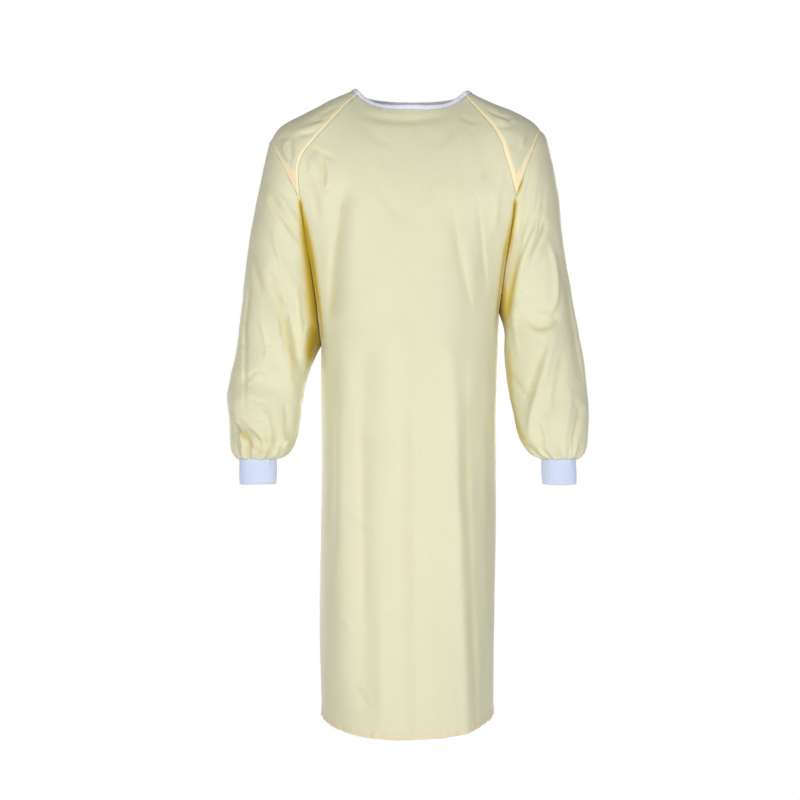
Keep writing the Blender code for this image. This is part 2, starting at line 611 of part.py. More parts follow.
def main():
    for thing in list(bpy.data.objects):
        bpy.data.objects.remove(thing, do_unlink=True)
    cloth = make_material("coated_cloth", CLOTH, 0.55)
    rib_knit = make_material("rib_knit", RIB_KNIT, 0.85)
    tape = make_material("binding_tape", TAPE, 0.75)
    stud = make_material("snap_finish", SNAP_FINISH, 0.40)

    grids, normals, flips = gown_skin()
    make_wall("front", grids["front"], normals["front"], body_walls(), cloth, False)
    under, upper = build_backs(grids["back"], normals["back"], cloth)
    for side in LINES:
        for piece, closed_from in (("shoulder_", None), ("sleeve_", ARMHOLE_ROWS)):
            name = piece + side
            walls = np.full(len(grids[name]), WALL)
            make_wall(name, grids[name], normals[name], walls, cloth, flips[name], closed_from)
        build_cuff(side, rib_knit)

    def neck_run(grid, grid_normals, step=1):
        return grid[0, ::step], grid_normals[0, ::step], edge_ups(grid)[::step]

    lap_end = BACK_SIDE_COLUMNS + LAP_COLUMNS
    back_normals = normals["back"]
    build_binding(*neck_line([
        neck_run(under[:, ::-1], back_normals[:, lap_end::-1]),
        neck_run(grids["shoulder_right"][:, ::-1], normals["shoulder_right"][:, ::-1], 2),
        neck_run(grids["front"], normals["front"]),
        neck_run(grids["shoulder_left"], normals["shoulder_left"], 2),
        neck_run(upper[:, ::-1], back_normals[:, :BACK_SIDE_COLUMNS - 1:-1]),
    ]), tape)
    build_snap(grids["back"], back_normals, stud)


main()
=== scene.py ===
# Looks of a long-sleeved protective gown: pale yellow woven cloth with raglan shoulders,
# rib-knit cuffs and a white neck binding. Metres, +Z up, the front faces -Y.
import math

import bmesh
import bpy
import numpy as np
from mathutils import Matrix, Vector


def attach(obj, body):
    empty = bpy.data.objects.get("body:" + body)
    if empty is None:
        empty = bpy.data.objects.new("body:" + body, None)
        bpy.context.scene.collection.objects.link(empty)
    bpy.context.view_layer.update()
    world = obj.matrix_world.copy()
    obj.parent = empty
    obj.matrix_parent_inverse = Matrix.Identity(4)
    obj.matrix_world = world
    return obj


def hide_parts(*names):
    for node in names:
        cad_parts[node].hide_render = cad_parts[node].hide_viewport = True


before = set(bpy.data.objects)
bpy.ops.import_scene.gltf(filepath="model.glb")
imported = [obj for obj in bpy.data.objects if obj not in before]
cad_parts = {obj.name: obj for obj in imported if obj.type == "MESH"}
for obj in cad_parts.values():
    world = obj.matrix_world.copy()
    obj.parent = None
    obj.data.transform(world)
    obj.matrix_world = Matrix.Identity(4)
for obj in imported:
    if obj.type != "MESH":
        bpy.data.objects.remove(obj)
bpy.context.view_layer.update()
bpy.ops.object.select_all(action="DESELECT")
print("frame loaded:", len(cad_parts), "nodes")

# The worn shape, the same named lines as the solids have: (x outward, y, z).
lines = {
    "right": {
        "sign": -1,
        "frontRaglan": [(0.095, -0.032, -0.016), (0.120, -0.058, -0.045), (0.152, -0.078, -0.084),
                        (0.188, -0.088, -0.128), (0.199, -0.089, -0.155), (0.201, -0.086, -0.182),
                        (0.198, -0.078, -0.217)],
        "backRaglan": [(0.090, 0.040, -0.012), (0.120, 0.068, -0.045), (0.152, 0.088, -0.084),
                       (0.184, 0.100, -0.128), (0.197, 0.102, -0.172), (0.198, 0.096, -0.217)],
        "top": [(0.105, 0.005, -0.002), (0.145, 0.005, -0.020), (0.173, 0.005, -0.035),
                (0.203, 0.005, -0.050), (0.231, 0.004, -0.065), (0.247, 0.003, -0.079),
                (0.258, 0.002, -0.098)],
        "frontArmhole": [(0.198, -0.078, -0.217), (0.191, -0.062, -0.270), (0.182, -0.047, -0.327),
                         (0.172, -0.034, -0.395), (0.167, -0.024, -0.440), (0.164, -0.007, -0.470),
                         (0.163, 0.012, -0.479)],
        "backArmhole": [(0.198, 0.096, -0.217), (0.192, 0.082, -0.270), (0.184, 0.068, -0.327),
                        (0.174, 0.056, -0.395), (0.168, 0.047, -0.440), (0.164, 0.031, -0.470),
                        (0.163, 0.012, -0.479)],
        "side": [(0.163, 0.012, -0.479), (0.164, 0.008, -0.560), (0.162, 0.008, -0.677),
                 (0.164, 0.008, -0.847), (0.166, 0.008, -0.998), (0.162, 0.008, -1.172)],
        "outer": [(0.259, 0.0020, -0.096), (0.280, 0.0035, -0.188), (0.299, 0.0050, -0.291),
                  (0.313, 0.0065, -0.405), (0.322, 0.0080, -0.479)],
        "sleeve": [  # level, inner x, outer x, middle y, half depth, gather depth
            (-0.479, 0.163, 0.322, 0.008, 0.068, 0.0), (-0.513, 0.179, 0.328, 0.004, 0.067, 0.0),
            (-0.545, 0.190, 0.335, -0.003, 0.065, 0.0), (-0.580, 0.196, 0.339, -0.012, 0.062, 0.0),
            (-0.615, 0.200, 0.334, -0.022, 0.059, 0.0), (-0.645, 0.205, 0.331, -0.030, 0.055, 0.0012),
            (-0.664, 0.211, 0.329, -0.035, 0.050, 0.0022), (-0.678, 0.218, 0.326, -0.039, 0.044, 0.0028),
            (-0.688, 0.228, 0.320, -0.042, 0.036, 0.0024), (-0.694, 0.244, 0.312, -0.044, 0.027, 0.0006)],
    },
    "left": {
        "sign": 1,
        "frontRaglan": [(0.106, -0.032, -0.018), (0.132, -0.058, -0.053), (0.155, -0.078, -0.084),
                        (0.169, -0.088, -0.111), (0.178, -0.090, -0.141), (0.187, -0.088, -0.168),
                        (0.197, -0.080, -0.207)],
        "backRaglan": [(0.100, 0.040, -0.014), (0.128, 0.068, -0.050), (0.153, 0.088, -0.084),
                       (0.176, 0.100, -0.128), (0.190, 0.102, -0.168), (0.197, 0.096, -0.207)],
        "top": [(0.119, 0.005, -0.006), (0.143, 0.005, -0.018), (0.175, 0.005, -0.033),
                (0.195, 0.005, -0.040), (0.213, 0.004, -0.048), (0.235, 0.003, -0.062),
                (0.248, 0.002, -0.076)],
        "frontArmhole": [(0.197, -0.080, -0.207), (0.193, -0.064, -0.250), (0.186, -0.048, -0.295),
                         (0.179, -0.034, -0.345), (0.175, -0.024, -0.380), (0.172, -0.007, -0.408),
                         (0.171, 0.012, -0.417)],
        "backArmhole": [(0.197, 0.096, -0.207), (0.193, 0.082, -0.250), (0.187, 0.068, -0.295),
                        (0.180, 0.056, -0.345), (0.175, 0.046, -0.380), (0.172, 0.031, -0.408),
                        (0.171, 0.012, -0.417)],
        "side": [(0.171, 0.012, -0.417), (0.169, 0.008, -0.500), (0.166, 0.008, -0.677),
                 (0.165, 0.008, -0.847), (0.162, 0.008, -0.998), (0.160, 0.008, -1.171)],
        "outer": [(0.248, 0.0020, -0.076), (0.262, 0.0035, -0.098), (0.282, 0.0050, -0.188),
                  (0.294, 0.0065, -0.291), (0.315, 0.0080, -0.417)],
        "sleeve": [  # level, inner x, outer x, middle y, half depth, gather depth
            (-0.417, 0.171, 0.315, 0.008, 0.068, 0.0), (-0.450, 0.181, 0.321, 0.004, 0.067, 0.0),
            (-0.495, 0.181, 0.328, -0.004, 0.066, 0.0), (-0.540, 0.184, 0.333, -0.014, 0.063, 0.0),
            (-0.585, 0.191, 0.336, -0.024, 0.060, 0.0), (-0.625, 0.199, 0.336, -0.036, 0.056, 0.0),
            (-0.652, 0.206, 0.333, -0.043, 0.051, 0.0016), (-0.672, 0.215, 0.329, -0.049, 0.045, 0.0028),
            (-0.686, 0.227, 0.321, -0.053, 0.037, 0.0026), (-0.694, 0.246, 0.309, -0.056, 0.027, 0.0006)],
    },
}
# level, depth of the front and of the back at the body's middle
bodyDepth = [(-0.015, -0.060, 0.074), (-0.048, -0.068, 0.084), (-0.080, -0.083, 0.094),
             (-0.130, -0.100, 0.108), (-0.200, -0.112, 0.118), (-0.300, -0.118, 0.116),
             (-0.420, -0.122, 0.110), (-0.600, -0.126, 0.118), (-0.800, -0.132, 0.130),
             (-1.190, -0.142, 0.142)]

body = {
    "neckDip": {"front": 0.032, "back": 0.005},
    "hemDip": {"front": 0.018, "back": 0.006},
    "neckDipPower": 1.5,
    "hemDepth": 0.012,
    "hemStep": 0.0008,
    "sectionPower": 2.2,
    "roundSection": 0.45,
    "hangPowers": (3.5, 3.0),     # at the neck and below the armholes
    "roundingRows": 1.2,          # how far a row's roundness is blended with its neighbours'
    "lapHalfWidths": (0.024, 0.095),              # at the neck and at the hem
    "lapDrop": 0.0026,
    "lapSpread": math.radians(82),
    "sideColumns": 8,             # the solid's columns from a side seam to the lap
    "raglanRows": 7,
    "armholeRows": 7,
    "rowsToHem": 17,
    "crowding": 1.5,
}
sleeve = {
    "upperHalfDepths": (0.088, 0.068),
    "pulledShare": 0.30,
    "closingPower": 0.7,
    "joinFrom": 0.7,              # share of the armhole from which the open rows become rings
    "rowStep": 0.0036,
    "gathers": 14,
    "fineGathers": 29,
    "unevenGathers": 0.35,
    "gatherShares": (0.85, 0.55),                 # of the wide and of the fine gathers
    "gatherLength": 0.06,         # above the cuff
    "gatherFade": 0.22,           # share of that length in which they grow shallow
    "farGathers": {"right": 0.70, "left": 0.30},  # what is left of the gathers away from the cuff
    "swell": 0.0008,
    "lip": 0.0012,                # the cloth stands out where it meets the cuff
    "lipReach": 0.10,
    "scallop": (0.0006, 0.0008, 0.0005),          # the sleeve's end is a little uneven
    "raisedEnd": 0.004,
}
dense = {"row": 601, "arch": 241, "levels": 400}  # points on a curve before it is laid out evenly
weave = {
    "seamSteps": np.array([0.0, 0.6, 1.2, 1.9, 2.7, 3.6, 4.6, 5.7, 6.8, 7.8, 9.2, 11.5]) * 0.001,
    "hemSteps": np.array([0.0, 0.5, 1.2, 2.2, 3.5, 5.0, 6.5, 8.0, 9.3, 10.4, 11.2, 12.0, 12.8,
                          14.0, 16.0]) * 0.001,
    "lineLengths": (0.25, 0.28, 0.72),  # of a raglan line, an armhole and the skirt
    "raglanRows": 52,
    "armholeRows": 62,
    "skirtRows": 120,
    "frontColumns": 116,
    "backColumns": 34,            # from a side seam to the lap
    "lapColumns": 22,
    "archColumns": 190,
    "thickness": 0.0008,
}


def runAlong(points):  # how far along a line each of its points lies
    return np.concatenate([[0], np.cumsum(np.linalg.norm(np.diff(points, axis=0), axis=1))])


def pointsAt(wanted, run, points):  # what lies at the wanted distances along a line
    return np.column_stack([np.interp(wanted, run, axis) for axis in points.T])


def smoothLine(points, at):  # on a smooth curve through the points, at shares of its length
    knots = np.array(points, float)
    knots = np.vstack([2 * knots[0] - knots[1], knots, 2 * knots[-1] - knots[-2]])
    t = np.linspace(0, 1, 16, endpoint=False)[:, None]
    runs = [0.5 * (2 * b + (c - a) * t + (2 * a - 5 * b + 4 * c - d) * t ** 2
                   + (3 * b - a - 3 * c + d) * t ** 3)
            for a, b, c, d in zip(knots, knots[1:], knots[2:], knots[3:])]
    fine = np.vstack([*runs, knots[-2:-1]])
    run = runAlong(fine)
    return pointsAt(run[-1] * np.asarray(at), run, fine)


def smoothRows(rows, at):  # rows of a table, smoothly filled in at fractional row numbers
    knots = np.array(rows, float)
    knots = np.vstack([2 * knots[0] - knots[1], knots, 2 * knots[-1] - knots[-2]])
    low = np.clip(np.asarray(at).astype(int), 0, len(rows) - 2)
    t = (np.asarray(at) - low)[:, None]
    a, b, c, d = (knots[low + step] for step in range(4))
    return 0.5 * (2 * b + (c - a) * t + (2 * a - 5 * b + 4 * c - d) * t ** 2
                  + (3 * b - a - 3 * c + d) * t ** 3)


def smoothStep(value):
    value = np.clip(value, 0, 1)
    return value * value * (3 - 2 * value)


def unit(vectors):
    return vectors / np.maximum(np.linalg.norm(vectors, axis=-1, keepdims=True), 1e-12)


def spaced(length, count, startSteps=None, endSteps=None):  # crowded where a seam runs
    head = weave["seamSteps"] if startSteps is None else startSteps
    tail = length - (weave["seamSteps"] if endSteps is None else endSteps)[::-1]
    middle = np.linspace(head[-1], tail[0], count + 1)
    return np.concatenate([head[:-1], middle, tail[1:]])


def sideLine(side, name, at):
    line = smoothLine(lines[side][name], at)
    line[:, 0] *= lines[side]["sign"]
    return line


noSteps = np.array([0.0])
raglanLength, armholeLength, skirtLength = weave["lineLengths"]
raglanAt = spaced(raglanLength, weave["raglanRows"]) / raglanLength
armholeAt = spaced(armholeLength, weave["armholeRows"], None, noSteps) / armholeLength
skirtAt = spaced(skirtLength, weave["skirtRows"], noSteps, weave["hemSteps"]) / skirtLength
armholePart = 1 - (1 - armholeAt) ** (1 / body["crowding"])


def bodyRowNumbers():  # which of the solid's rows, in between too, each fine row lies on
    start = body["raglanRows"] + body["armholeRows"]
    last = start + body["rowsToHem"]
    fold = 1 - body["hemDepth"] / skirtLength
    step = 1 - (body["hemDepth"] - body["hemStep"]) / skirtLength
    plain = last - 3 - start
    skirt = np.interp(skirtAt, (0, plain / (plain + 1), fold, step, 1),
                      (start, last - 3, last - 2, last - 1, last))
    return np.concatenate([body["raglanRows"] * raglanAt,
                           body["raglanRows"] + body["armholeRows"] * armholePart[1:], skirt[1:]])


rowNumbers = bodyRowNumbers()


def bodyEdge(side, face):
    return np.vstack([sideLine(side, face + "Raglan", raglanAt),
                      sideLine(side, face + "Armhole", armholeAt)[1:],
                      sideLine(side, "side", skirtAt)[1:]])


def rowRoundness(row):  # 0 is gentle, at the neck, and 1 a tube, below the armhole
    near = row + np.linspace(-body["roundingRows"], body["roundingRows"], 9)
    return np.mean(np.clip((near - body["raglanRows"]) / body["armholeRows"], 0, 1))


def rowDip(row, face):
    toArmpit = min(row / body["raglanRows"], 1.0)
    toHem = max((row - body["raglanRows"] - body["armholeRows"]) / body["rowsToHem"], 0.0)
    return (body["neckDip"][face] * (1 - toArmpit) ** body["neckDipPower"]
            + body["hemDip"][face] * toHem ** 2)


def laid(curve, count):  # a dense row's points, with this many even steps between its seams
    length = np.linalg.norm(np.diff(curve, axis=0), axis=1).sum()
    return pointsAt(spaced(length, count), runAlong(curve), curve)


def bodyGrid(face):
    right, left = bodyEdge("right", face), bodyEdge("left", face)
    levelDepth = smoothRows(bodyDepth, np.linspace(0, len(bodyDepth) - 1, dense["levels"]))[::-1]
    depths = levelDepth[:, 1] if face == "front" else levelDepth[:, 2]
    way = np.linspace(-1, 1, dense["row"])
    way = np.sign(way) * (1 - (1 - np.abs(way)) ** 4)
    grid, drops = [], []
    for row, start, end in zip(rowNumbers, right, left):
        level = (start[2] + end[2]) / 2 - rowDip(row, face)
        depth = np.interp(level, levelDepth[:, 0], depths)
        roundness = rowRoundness(row)
        lap = np.interp(row / rowNumbers[-1], (0, 1), body["lapHalfWidths"])
        share = 2 * lap / (end[0] - start[0])

        def curve(s):
            centre = (start + end) / 2
            power = np.interp(roundness, (0, 1), (1, body["roundSection"]))
            bulge = (1 - np.abs(s) ** body["sectionPower"]) ** power
            hang = 1 - np.abs(s) ** np.interp(roundness, (0, 1), body["hangPowers"])
            points = start + (end - start) * ((s + 1) / 2)[:, None]
            points[:, 1] += bulge * (depth - centre[1])
            points[:, 2] += hang * (level - centre[2])
            return points

        if face == "front":
            grid.append(laid(curve(way), weave["frontColumns"]))
            continue
        sections = []
        for low, high, count in ((-1, -share, "backColumns"), (-share, share, "lapColumns"),
                                 (share, 1, "backColumns")):
            s = np.concatenate([[low], way[(way > low) & (way < high)], [high]])
            points = laid(curve(s), weave[count])
            sections.append(points if low == -1 else points[1:])
        points = np.vstack(sections)
        lastColumn = math.asin(share * math.sin(body["lapSpread"])) / body["lapSpread"]
        before = -np.interp(body["sideColumns"] - 1, (0, body["sideColumns"]), (1, lastColumn))
        dropStart = math.sin(body["lapSpread"] * before) / math.sin(body["lapSpread"])
        across = (points[:, 0] - start[0]) / (end[0] - start[0]) * 2 - 1
        drops.append(smoothStep((across - dropStart) / (-share - dropStart)))
        grid.append(points)
    return np.array(grid), np.array(drops)


def archCurve(front, top, back):
    angle = np.linspace(-math.pi / 2, math.pi / 2, dense["arch"])[:, None]
    centre = (front + back) / 2
    return centre + (top - centre) * np.cos(angle) + (back - front) / 2 * np.sin(angle)


def shoulderGrid(side):
    edges = (sideLine(side, name, raglanAt) for name in ("frontRaglan", "top", "backRaglan"))
    return np.array([laid(archCurve(*row), weave["archColumns"]) for row in zip(*edges)])


def openCurve(front, outer, back, part):  # a sleeve row that ends on the armhole
    closing = part ** sleeve["closingPower"]
    lean = closing * math.pi / 2
    way = np.linspace(-1, 1, dense["arch"])[:, None]
    angle = way * (math.pi / 2 + lean)
    endMiddle = (front + back) / 2
    reach = (outer - endMiddle) / (1 + math.sin(lean))
    depth = np.interp(part, (0, 1), sleeve["upperHalfDepths"])
    ring = outer - reach + reach * np.cos(angle) + np.array([0, depth, 0]) * np.sin(angle)
    nearFront = np.clip(1 - (way + 1) / 2 / sleeve["pulledShare"], 0, 1) ** 2
    nearBack = np.clip(1 - (1 - way) / 2 / sleeve["pulledShare"], 0, 1) ** 2
    return ring + (front - ring[0]) * nearFront + (back - ring[-1]) * nearBack


def sleeveRing(side, values, pinch, armpitY):
    level, inner, outer, middle, halfDepth = values[:5]
    angle = np.linspace(-math.pi, math.pi, dense["arch"])
    x = lines[side]["sign"] * ((inner + outer) / 2 + (outer - inner) / 2 * np.cos(angle))
    pull = np.clip(1 - (1 - np.abs(angle) / math.pi) / sleeve["pulledShare"], 0, 1) ** 2
    y = middle + halfDepth * np.sin(angle) + pinch * pull * (armpitY - middle)
    return np.column_stack([x, y, np.full(len(angle), level)])


def sleeveGrid(side):
    front, back = (sideLine(side, name, armholeAt) for name in ("frontArmhole", "backArmhole"))
    outer = sideLine(side, "outer", armholeAt)
    table = lines[side]["sleeve"]
    firstRing = sleeveRing(side, table[0], 1, front[-1, 1])
    curves = [archCurve(front[0], sideLine(side, "top", [1.0])[0], back[0])]
    change = firstRing - openCurve(front[-1], outer[-1], back[-1], 1.0)
    start = sleeve["joinFrom"]
    for part, *row in list(zip(armholePart, front, outer, back))[1:-1]:
        curves.append(openCurve(*row, part) + change * smoothStep((part - start) / (1 - start)))
    counts = [max(int((a[0] - b[0]) / sleeve["rowStep"]), 3) for a, b in zip(table, table[1:])]
    at = np.concatenate([np.linspace(k, k + 1, count, endpoint=False) for k, count in enumerate(counts)])
    at = np.append(at, len(table) - 1)
    first = len(armholeAt) - 1
    depth = [0.0] * first
    for place, values in zip(at, smoothRows(table, at)):
        curves.append(sleeveRing(side, values, max(1 - place, 0), front[-1, 1]))
        depth.append(max(values[5], 0))
    grid = np.array([laid(curve, weave["archColumns"]) for curve in curves])
    grid[first, 0] = front[-1]
    grid[first:, -1] = grid[first:, 0]
    return grid, np.array(depth)


def quadNormals(grid, flip):
    normal = np.cross(grid[1:, 1:] - grid[:-1, :-1], grid[:-1, 1:] - grid[1:, :-1])
    return -normal if flip else normal


def skinNormals(grids, flips, fixed):  # a seam's points take the mean of the pieces' normals
    totals = {}
    keys = {}
    for name, grid in grids.items():
        quads = quadNormals(grid, flips[name])
        own = np.zeros_like(grid)
        for rows, columns in np.ndindex(2, 2):
            own[rows:len(grid) - 1 + rows, columns:grid.shape[1] - 1 + columns] += quads
        keys[name] = [tuple(point) for point in np.round(grid.reshape(-1, 3), 5)]
        for key, normal in zip(keys[name], unit(own).reshape(-1, 3)):
            totals[key] = totals.get(key, 0) + normal
    for point, normal in fixed:
        totals[tuple(np.round(point, 5))] = normal
    return {name: unit(np.array([totals[key] for key in keys[name]])).reshape(grid.shape)
            for name, grid in grids.items()}


# Largest folds, as the solids have them: view, start and end (x, z), half width and rise.
# This table and the next two are in millimetres.
mainFolds = [
    ("front", (-124, -220), (-141, -393), 24, -4.8),
    ("front", (-98, -240), (-112, -420), 24, 3),
    ("front", (96, -260), (124, -470), 30, -3.2),
    ("front", (142, -240), (150, -400), 22, -2.4),
    ("front", (-143, -540), (-146, -840), 22, -3.2),
    ("front", (-118, -480), (-122, -1080), 24, 4.5),
    ("front", (-83, -520), (-78, -1120), 22, -3),
    ("front", (-20, -480), (-22, -1180), 34, 4),
    ("front", (18, -600), (24, -1180), 22, -3),
    ("front", (76, -500), (108, -1180), 26, 4),
    ("front", (132, -600), (138, -1180), 24, -3.6),
    ("back", (-118, -240), (-138, -640), 24, -6),
    ("back", (-96, -420), (-112, -1180), 30, 6),
    ("back", (122, -230), (136, -600), 24, -6),
    ("back", (100, -460), (118, -1180), 30, 6),
    ("back", (10, -300), (-12, -1180), 40, 4),
    ("back", (-52, -520), (-64, -1180), 26, -5),
    ("back", (50, -500), (62, -1180), 26, -5),
    ("front", (-256, -215), (-200, -300), 18, 3.5),
    ("front", (-252, -340), (-225, -430), 18, 3),
    ("front", (-238, -412), (-212, -560), 18, 4),
    ("front", (-305, -546), (-245, -560), 16, -4),
    ("front", (-318, -590), (-276, -668), 18, 3.5),
    ("front", (246, -250), (194, -380), 18, 4),
    ("front", (270, -285), (218, -384), 16, -3.5),
    ("front", (220, -425), (268, -436), 18, -4.5),
    ("front", (270, -445), (219, -655), 20, 5),
    ("front", (300, -330), (318, -560), 18, -3),
    ("back", (-262, -240), (-215, -420), 20, 4.5),
    ("back", (-290, -480), (-225, -560), 20, -4.5),
    ("back", (-300, -570), (-262, -665), 18, 4),
    ("back", (262, -230), (212, -400), 20, 4.5),
    ("back", (292, -470), (222, -540), 20, -4.5),
    ("back", (304, -560), (258, -665), 18, 4),
]

